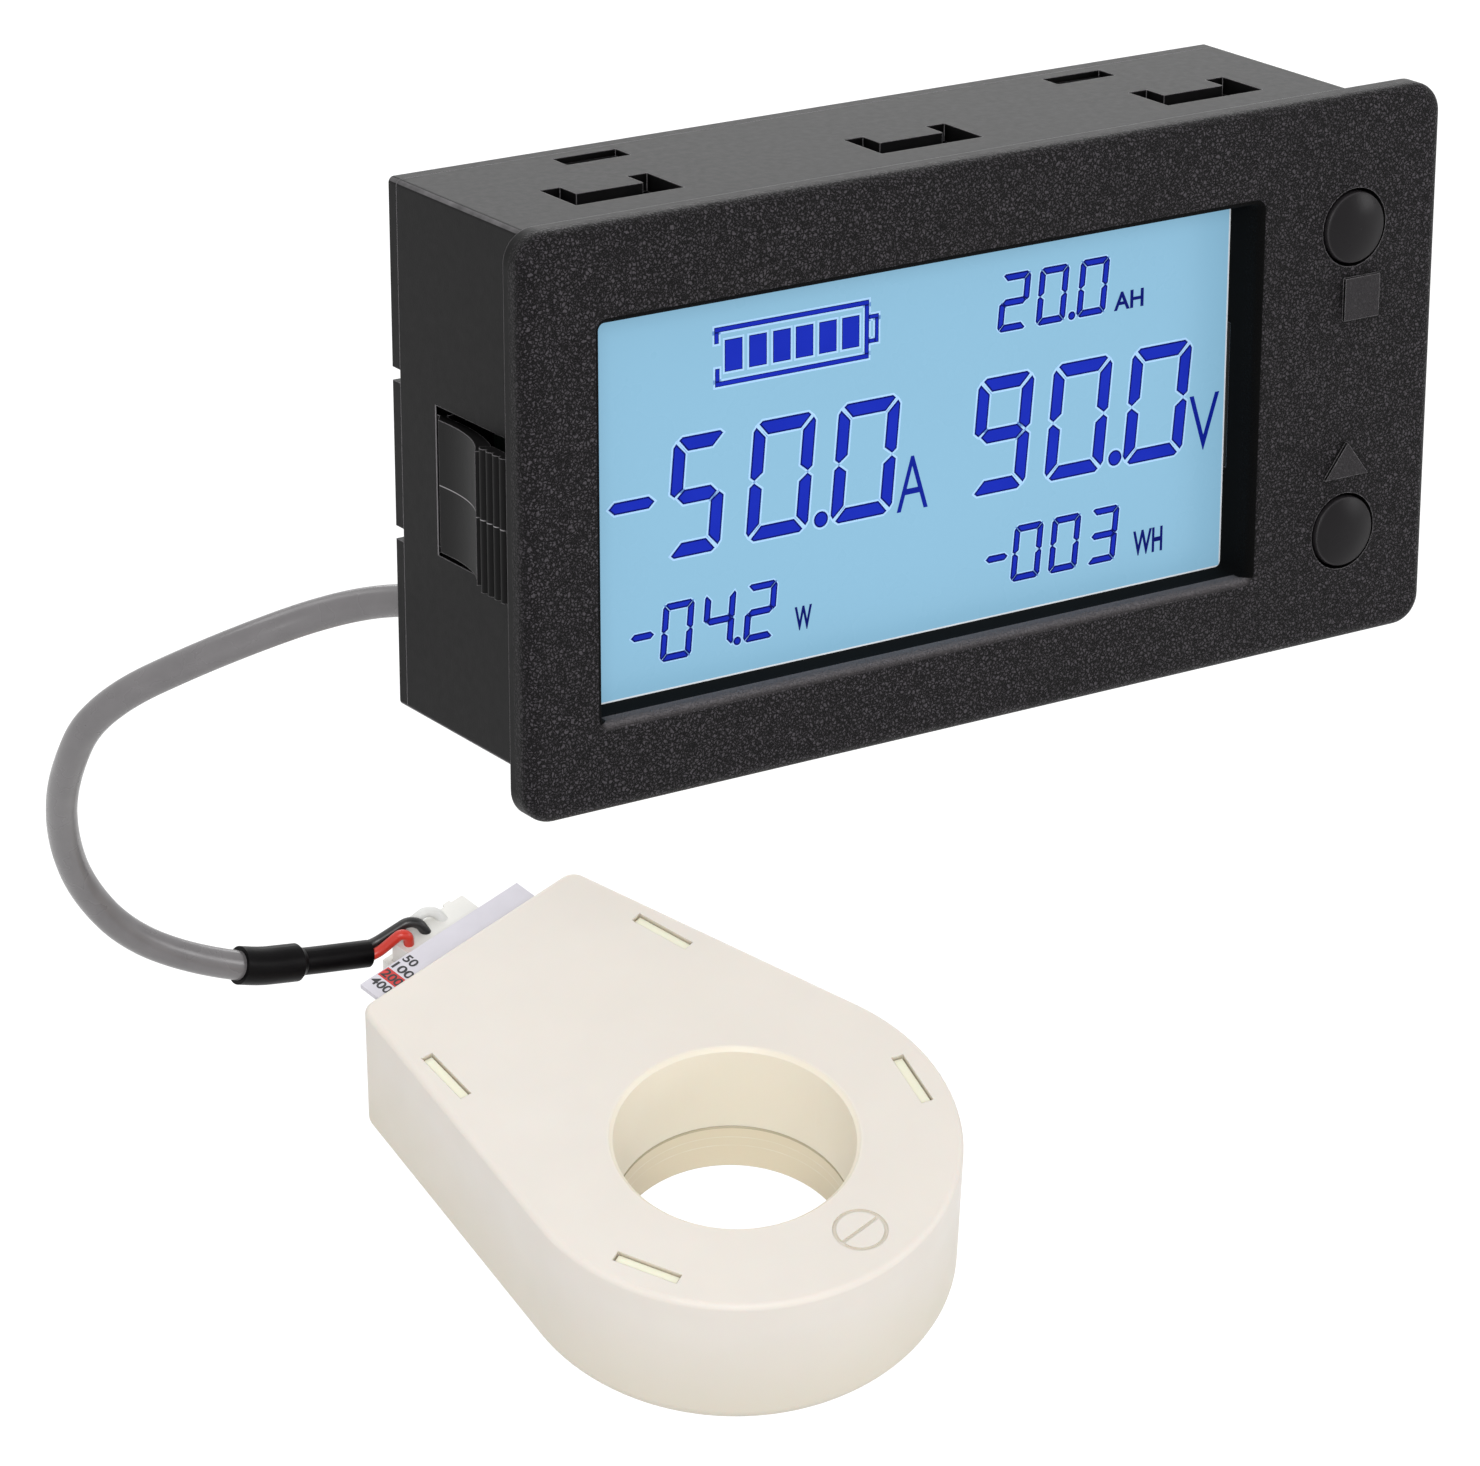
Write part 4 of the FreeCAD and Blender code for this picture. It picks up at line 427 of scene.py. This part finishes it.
def board_green():
    """Solder mask over copper: faint tracks, and painted shade on margins at the board's left and
    right.
    """
    finish = Finish("circuit_board", (0.007, 0.052, 0.021), 0.3, specular=0.3)
    tracks = finish.node("ShaderNodeTexWave", wave_type="BANDS", bands_direction="DIAGONAL")
    tracks.inputs["Scale"].default_value = 180
    tracks.inputs["Distortion"].default_value = 3.0
    finish.link(finish.place, tracks.inputs["Vector"])
    finish.tint((0.012, 0.085, 0.035),
                finish.remap(tracks.outputs["Fac"], 0, 0.8, start=0.45, end=0.55))
    x = finish.parts(finish.place)[0]
    # Painted shade on the board's left and right margins, inside the case
    finish.tint((0.002, 0.004, 0.003), finish.outside(x, BOARD_MARGIN))
    finish.bump(tracks.outputs["Fac"], distance=0.00002, strength=0.3)
    finish.rough(0.24, 0.4, scale=350)
    return finish


DISPLAY_BLUE = (0.258, 0.496, 0.675)


def display(name, glow):
    """The display's ground, lit from behind."""
    finish = Finish(name, shaded(DISPLAY_BLUE, 0.42), 0.3, specular=0.15)
    finish.mottle(shaded(DISPLAY_BLUE, 0.44), scale=40)
    finish.rough(0.24, 0.32, scale=200)
    finish.grain(9000, distance=0.000002, strength=0.3)
    finish.glow(DISPLAY_BLUE, glow)
    return finish


def ink(name, colour, other, scale=300, roughness=0.4, specular=0.05, glow=0.0):
    """A printed colour, mottled with another, which glows where there is light behind it."""
    finish = Finish(name, colour, roughness, specular)
    finish.mottle(other, scale)
    if glow:
        finish.glow(colour, glow)
    return finish


FINISHES = {
    "black_case": black_case(),
    "black_button": plastic("black_button", (0.010, 0.009, 0.010), 0.3, specular=0.12,
                            edge_wear_and_highlight=(0.07, 0.066, 0.07)),
    "display_film": display("display_film", 0.59),
    "display_cell": display("display_cell", 0.35),
    "light_guide": plastic("light_guide", (0.80, 0.84, 0.86), 0.2),
    "white_holder": plastic("white_holder", (0.66, 0.66, 0.61), 0.45),
    "circuit_board": board_green(),
    "chip_black": plastic("chip_black", (0.022, 0.022, 0.023), 0.55, vary=1.3),
    "tinned_pin": metal("tinned_pin", (0.62, 0.62, 0.60), 0.34),
    "can_metal": metal("can_metal", (0.60, 0.60, 0.62), 0.36, stretch=(1, 9, 1)),
    "switch_black": plastic("switch_black", (0.03, 0.03, 0.031), 0.5, vary=1.25),
    "plunger_cream": plastic("plunger_cream", (0.62, 0.54, 0.36), 0.42),
    "terminal_green": plastic("terminal_green", (0.012, 0.17, 0.05), 0.42, grain=0.00001),
    "screw_steel": metal("screw_steel", (0.55, 0.55, 0.53), 0.34),
    "clamp_metal": metal("clamp_metal", (0.62, 0.57, 0.44), 0.36),
    "contact_brass": metal("contact_brass", (0.62, 0.42, 0.14), 0.34, stretch=(1, 9, 1)),
    "rubber_black": plastic("rubber_black", (0.021, 0.021, 0.021), 0.62, vary=1.3, grain=0.00001),
    "lead_grey": plastic("lead_grey", (0.155, 0.147, 0.151), 0.28, specular=0.6, vary=0.88,
                         grain=0.000008),
    "shrink_black": plastic("shrink_black", (0.0024, 0.0021, 0.0024), 0.38, specular=0.07,
                            vary=1.7, grain=0.000016),
    "wire_red": plastic("wire_red", (0.60, 0.035, 0.02), 0.36),
    "wire_black": plastic("wire_black", (0.012, 0.012, 0.012), 0.36, vary=1.5),
    "wire_white": plastic("wire_white", (0.76, 0.76, 0.74), 0.38),
    "plug_white": plastic("plug_white", (0.85, 0.84, 0.80), 0.4),
    "sensor_ivory": ivory("sensor_ivory", (0.79, 0.74, 0.68), warm=(0.78, 0.72, 0.64),
                          low=(0.67, 0.61, 0.49), bore=(0.85, 0.79, 0.67)),
    "sensor_base_ivory": ivory_base(),
    "core_steel": metal("core_steel", (0.10, 0.10, 0.11), 0.5),
    "strip_paper": plastic("strip_paper", (0.69, 0.67, 0.73), 0.5, grain=0.000004),
}

slots = {part["node"]: part["material_slot"] for part in frame["record"]["subparts"]}
for name, piece in nodes.items():
    material = FINISHES[slots[name]].material
    if not piece.material_slots:
        piece.data.materials.append(material)
    for entry in piece.material_slots:
        entry.material = material


# Making pieces
LAYER = 0.00001


def keep(piece, body=METER):
    """Puts a piece in the scene, where it moves with a body."""
    scene.collection.objects.link(piece)
    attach(piece, body)
    return piece


def shape(name, mesh, finish):
    """Makes a piece of one material from a mesh."""
    mesh.materials.clear()
    mesh.materials.append(finish.material)
    return keep(bpy.data.objects.new(name, mesh))


def prisms(name, outlines, place, finish):
    """Plates that rise one layer, one for each outline, from the plane that place gives."""
    builder = bmesh.new()
    for outline in outlines:
        face = builder.faces.new([builder.verts.new((x * MM, y * MM, 0)) for x, y in outline])
        lifted = bmesh.ops.extrude_face_region(builder, geom=[face])["geom"]
        rise = [v for v in lifted if isinstance(v, bmesh.types.BMVert)]
        bmesh.ops.translate(builder, verts=rise, vec=(0, 0, LAYER))
    bmesh.ops.recalc_face_normals(builder, faces=builder.faces)
    mesh = bpy.data.meshes.new(name)
    builder.to_mesh(mesh)
    builder.free()
    mesh.transform(place)
    return shape(name, mesh, finish)


# Lead: one smooth line with the route of its tube
LEAD = [(-32.0, 26.0, -17.0), (-32.0, 33.0, -17.3), (-36.0, 41.0, -19.2), (-45.3, 46.8, -23.2),
        (-52.8, 55.9, -29.7), (-52.7, 62.8, -38.4), (-50.5, 68.0, -45.8), (-47.1, 71.5, -52.8),
        (-42.0, 73.0, -59.1), (-35.0, 73.2, -63.3), (-30.38, 73.4, -64.94)]
curve = bpy.data.curves.new("lead", "CURVE")
curve.dimensions = "3D"
spline = curve.splines.new("NURBS")
spline.points.add(len(LEAD) - 1)
for point, place in zip(spline.points, LEAD):
    point.co = (*(Vector(place) * MM), 1)
spline.order_u = 3
spline.use_endpoint_u = True
spline.resolution_u = 24
curve.bevel_depth = 0.0014
curve.bevel_resolution = 8
curve.use_fill_caps = True
curve.materials.append(FINISHES["lead_grey"].material)
lead = keep(bpy.data.objects.new("lead", curve))
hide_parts("sensor_lead")


# Display content: slanted seven-segment figures on the front film
FILM_FRONT = 0.0013
SLANT = 0.088
DOT_SIDES = 24
SEGMENTS = {"0": "abcdef", "2": "abged", "3": "abgcd", "4": "fgbc", "5": "afgcd", "9": "abcdfg"}


def on_display(layer):
    """The display's plane, so many layers up: x to the right, y up, z towards the viewer."""
    return Matrix.Translation((0, FILM_FRONT - layer * LAYER, 0)) @ turn(90, "X")


def segment_shapes(w, h, t, g):
    """The seven mitred segments of an upright figure: its width, height, stroke and gap."""
    m = h / 2
    top = [(0.25 * t + g, h - 0.2 * t), (0.5 * t + g, h), (w - 0.5 * t - g, h),
           (w - 0.25 * t - g, h - 0.2 * t), (w - t - g, h - t), (t + g, h - t)]
    middle = [(0.4 * t + g, m), (t + 0.6 * g, m + t / 2), (w - t - 0.6 * g, m + t / 2),
              (w - 0.4 * t - g, m), (w - t - 0.6 * g, m - t / 2), (t + 0.6 * g, m - t / 2)]
    upper_left = [(0, h - 0.5 * t - g), (0.2 * t, h - 0.22 * t - g), (t, h - t - g),
                  (t, m + t / 2 + 0.4 * g), (0.35 * t, m + g / 2), (0, m + 0.35 * t)]

    def across(points):
        return [(w - x, y) for x, y in reversed(points)]

    def down(points):
        return [(x, h - y) for x, y in reversed(points)]

    return {"a": top, "g": middle, "d": down(top), "f": upper_left, "b": across(upper_left),
            "e": down(upper_left), "c": down(across(upper_left))}


def figure(text, x, z, width, height, stroke):
    """Outlines of one figure with its lower left corner at x, z, leaning to the right."""
    parts = segment_shapes(width, height, stroke, 0.11 * stroke + 0.06)
    return [[(x + a + b * SLANT, z + b) for a, b in parts[key]] for key in SEGMENTS[text]]


def bar(x0, x1, z, thick):
    """A minus sign with pointed ends."""
    tip = thick * 0.55
    half = thick / 2
    return [(x0, z), (x0 + tip, z - half), (x1 - tip, z - half), (x1, z), (x1 - tip, z + half),
            (x0 + tip, z + half)]


def dot(x, z, radius):
    turns = [math.tau * i / DOT_SIDES for i in range(DOT_SIDES)]
    return [(x + radius * math.cos(a), z + radius * math.sin(a)) for a in turns]


def box(x0, x1, z0, z1):
    return [(x0, z0), (x1, z0), (x1, z1), (x0, z1)]


def offset(outline, by):
    """A convex outline with each side moved outward, or inward where by is negative."""
    points = [Vector(point) for point in outline]
    area = sum(a.x * b.y - b.x * a.y for a, b in zip(points, points[1:] + points[:1]))
    if area < 0:
        points.reverse()
    lines = []
    for a, b in zip(points, points[1:] + points[:1]):
        along = (b - a).normalized()
        out = Vector((along.y, -along.x))
        lines.append((a + out * by, along))
    made = []
    for (p, u), (q, v) in zip(lines[-1:] + lines[:-1], lines):
        cross = u.x * v.y - u.y * v.x
        step = ((q.x - p.x) * v.y - (q.y - p.y) * v.x) / cross
        made.append(tuple(p + u * step))
    return made


def grown(outlines, by):
    return [offset(outline, by) for outline in outlines]


# Figures with their left and bottom: current and voltage are big and have their own widths
BIG_TALL, BIG_STROKE = 9.85, 1.2
SMALL_WIDE, SMALL_TALL, SMALL_STROKE = 2.85, 4.7, 0.5
BIG_FIGURES = [("5", -29.75, -5.5, 5.1), ("0", -22.22, -5.45, 5.95), ("0", -14.1, -5.42, 6.0),
               ("9", -0.4, -5.6, 5.6), ("0", 7.15, -5.6, 6.0), ("0", 15.2, -5.6, 6.2)]
SMALL_FIGURES = [("0", -30.3, -13.85), ("4", -26.35, -13.75), ("2", -22.4, -13.75),
                 ("0", 3.95, -13.6), ("0", 7.8, -13.6), ("3", 11.75, -13.6),
                 ("2", 2.2, 7.95), ("0", 6.05, 7.92), ("0", 10.15, 7.95)]
big = [bar(-35.0, -30.72, -0.42, 1.0), dot(-14.96, -4.77, 0.68), dot(14.43, -4.76, 0.68)]
for text, x, z, width in BIG_FIGURES:
    big += figure(text, x, z, width, BIG_TALL, BIG_STROKE)
small = [bar(-32.94, -30.92, -11.41, 0.5), bar(1.46, 3.53, -11.27, 0.5),
         dot(-22.98, -13.49, 0.3), dot(9.66, 8.19, 0.3)]
for text, x, z in SMALL_FIGURES:
    small += figure(text, x, z, SMALL_WIDE, SMALL_TALL, SMALL_STROKE)

# Battery sign: its outline as thin boxes, and the bars in it
BAR_WIDE = 1.67
BAR_STARTS = (-24.15, -21.86, -19.60, -17.45, -15.22, -13.03)
battery = [box(-25.12, -10.44, 12.3, 12.72), box(-25.05, -10.44, 7.88, 8.3),
           box(-10.86, -10.44, 8.3, 12.3), box(-25.12, -24.7, 11.39, 12.3),
           box(-25.05, -24.63, 8.3, 9.37), box(-10.44, -9.5, 11.1, 11.46),
           box(-9.86, -9.5, 9.1, 11.1), box(-10.44, -9.86, 9.1, 9.46)]
battery += [box(x, x + BAR_WIDE, 9.0, 11.6) for x in BAR_STARTS]

# Each figure has a pale halo, a dark edge and a blue filling, one over the other
HALO = 0.17
SMALL_SWELL = 0.06
BIG_EDGE, SMALL_EDGE, BATTERY_EDGE = 0.14, 0.08, 0.07
halo_blue = ink("display_halo", (0.33, 0.52, 0.74), (0.31, 0.50, 0.72), specular=0.1, glow=0.25)
edge_blue = ink("display_edge", (0.001, 0.004, 0.11), (0.002, 0.006, 0.13), glow=0.15)
fill_blue = ink("display_fill", (0.006, 0.018, 0.34), (0.008, 0.022, 0.38), scale=240, glow=0.2)
prisms("display_halo", grown(big + small + battery, HALO), on_display(1), halo_blue)
prisms("display_edges", big + battery + grown(small, SMALL_SWELL), on_display(2), edge_blue)
fillings = grown(big, -BIG_EDGE) + grown(small, -SMALL_EDGE) + grown(battery, -BATTERY_EDGE)
prisms("display_figures", fillings, on_display(3), fill_blue)

# Pale line round the display, and the black gasket beside it
LEFT, RIGHT, LOW, HIGH = -37.95, 25.85, -16.3, 15.9
LINE = 0.13
GASKET = 0.55
border_pale = ink("display_border", (0.70, 0.74, 0.78), (0.66, 0.71, 0.76), specular=0.1,
                  glow=0.15)
prisms("display_border", [box(LEFT, RIGHT, LOW, LOW + LINE), box(LEFT, RIGHT, HIGH - LINE, HIGH),
                          box(LEFT, LEFT + LINE, LOW + LINE, HIGH - LINE),
                          box(RIGHT - LINE, RIGHT, LOW + LINE, HIGH - LINE)],
       on_display(1), border_pale)
prisms("display_gasket", [box(RIGHT, RIGHT + GASKET, LOW, HIGH)], on_display(1),
       FINISHES["rubber_black"])


LETTER_DEPTH = 0.001


def stretched(value, values, low, high):
    """The value moved to where it lies between low and high, as it does among the values."""
    return low + (value - min(values)) / (max(values) - min(values)) * (high - low)


def lettering(name, text, corners, place, finish, grow):
    """Text that fills the box (x0, x1, y0, y1) and rises one layer from the plane of place."""
    writing = bpy.data.curves.new(name, "FONT")
    writing.body = text
    writing.offset = grow
    writing.extrude = LETTER_DEPTH
    holder = bpy.data.objects.new(name, writing)
    scene.collection.objects.link(holder)
    depsgraph = bpy.context.evaluated_depsgraph_get()
    mesh = bpy.data.meshes.new_from_object(holder.evaluated_get(depsgraph))
    bpy.data.objects.remove(holder)
    xs = [v.co.x for v in mesh.vertices]
    ys = [v.co.y for v in mesh.vertices]
    for v in mesh.vertices:
        v.co.x = stretched(v.co.x, xs, *corners[:2]) * MM
        v.co.y = stretched(v.co.y, ys, *corners[2:]) * MM
        v.co.z *= LAYER / LETTER_DEPTH
    mesh.transform(place)
    return shape(name, mesh, finish)


# Units: the two tall ones beside the big figures are thin and blue, the others dark
TALL = 4.0
LETTERS = [("A", -7.55, -4.50, -5.58, -1.0), ("V", 22.10, 25.21, -5.65, -0.80),
           ("AH", 13.98, 17.0, 7.87, 9.42), ("W", -17.45, -15.79, -13.76, -11.73),
           ("WH", 16.56, 19.64, -13.75, -11.57)]
letter_blue = ink("display_letter", (0.003, 0.010, 0.22), (0.004, 0.014, 0.25), glow=0.18)
for number, (text, *corners) in enumerate(LETTERS):
    tall = corners[3] - corners[2] > TALL
    lettering("display_unit_%d" % number, text, corners, on_display(2),
              letter_blue if tall else edge_blue, grow=-0.008 if tall else 0.02)


# Range strip: numbers that read towards the bore, and a red mark on one of them
STRIP_DEPTH = 0.0016
STRIP_TOP = SENSOR @ Matrix.Translation((0, 0, -STRIP_DEPTH)) @ turn(-90, "Z")
NUMBER_START = -38.7
HALF_TALL = 0.5
NUMBERS = [("50", 1.5, -4.95), ("100", 2.4, -6.3), ("200", 2.4, -7.68), ("400", 2.4, -9.05)]
strip_ink = ink("strip_ink", (0.015, 0.015, 0.018), (0.03, 0.03, 0.035), scale=900, roughness=0.5,
                specular=0.5)
strip_red = ink("strip_red", (0.66, 0.035, 0.03), (0.58, 0.03, 0.027), scale=900, roughness=0.5,
                specular=0.5)
prisms("strip_mark", [box(-38.8, -34.9, -8.35, -7.0)], STRIP_TOP, strip_red)
over_mark = STRIP_TOP @ Matrix.Translation((0, 0, 2 * LAYER))
for text, wide, middle in NUMBERS:
    corners = (NUMBER_START, NUMBER_START + wide, middle - HALF_TALL, middle + HALF_TALL)
    lettering("strip_number_" + text, text, corners, over_mark, strip_ink, grow=0.02)


# Floor, background and light
WORLD_LIGHT = 0.74
FLOOR_LIFT = 0.5
FLOOR_HEIGHT = -0.14
WHITE = (1, 1, 1, 1)


def seen_as(tree, socket, otherwise, seen):
    """Gives the socket one value for rays that show a surface, and another for its light."""
    path = tree.nodes.new("ShaderNodeLightPath")
    total = path.outputs["Is Camera Ray"]
    for ray in ("Is Glossy Ray", "Is Transmission Ray"):
        either = tree.nodes.new("ShaderNodeMath")
        tree.links.new(total, either.inputs[0])
        tree.links.new(path.outputs[ray], either.inputs[1])
        total = either.outputs["Value"]
    strength = tree.nodes.new("ShaderNodeMapRange")
    strength.inputs["To Min"].default_value = otherwise
    strength.inputs["To Max"].default_value = seen
    tree.links.new(total, strength.inputs["Value"])
    tree.links.new(strength.outputs["Result"], socket)


floor_finish = Finish("floor", (0.58, 0.58, 0.58), 0.6, specular=0.1)
floor_finish.shader.inputs["Emission Color"].default_value = WHITE
seen_as(floor_finish.tree, floor_finish.shader.inputs["Emission Strength"], 0.0, FLOOR_LIFT)
builder = bmesh.new()
bmesh.ops.create_grid(builder, x_segments=8, y_segments=8, size=3.0)
floor_mesh = bpy.data.meshes.new("floor")
builder.to_mesh(floor_mesh)
builder.free()
floor_mesh.materials.append(floor_finish.material)
floor = bpy.data.objects.new("floor", floor_mesh)
floor.location = (0, 0.5, FLOOR_HEIGHT)
scene.collection.objects.link(floor)

world = bpy.data.worlds.new("studio")
scene.world = world
world.use_nodes = True
sky = world.node_tree.nodes["Background"]
seen_as(world.node_tree, sky.inputs["Strength"], WORLD_LIGHT, 1.0)
sky.inputs["Color"].default_value = WHITE


def softbox(name, place, target, size, power):
    """A rectangular lamp that points at its target."""
    data = bpy.data.lights.new(name, "AREA")
    data.shape = "RECTANGLE"
    data.size, data.size_y = size
    data.energy = power
    lamp = bpy.data.objects.new(name, data)
    lamp.location = place
    lamp.rotation_euler = (Vector(target) - Vector(place)).to_track_quat("-Z", "Y").to_euler()
    scene.collection.objects.link(lamp)


softbox("key", (-0.60, -0.88, 0.40), (0, 0.04, -0.06), size=(0.4, 0.4), power=6.5)
softbox("fill", (0.85, -0.65, 0.2), (0, 0.02, -0.03), size=(0.4, 0.4), power=2.0)
softbox("rim", (0.62, 0.94, 0.40), (0, 0.01, 0.02), size=(0.7, 0.3), power=1.7)
softbox("back", (-0.1, 0.55, 0.75), (0, 0.02, -0.03), size=(0.6, 0.4), power=1.6)

scene.view_settings.view_transform = "Standard"
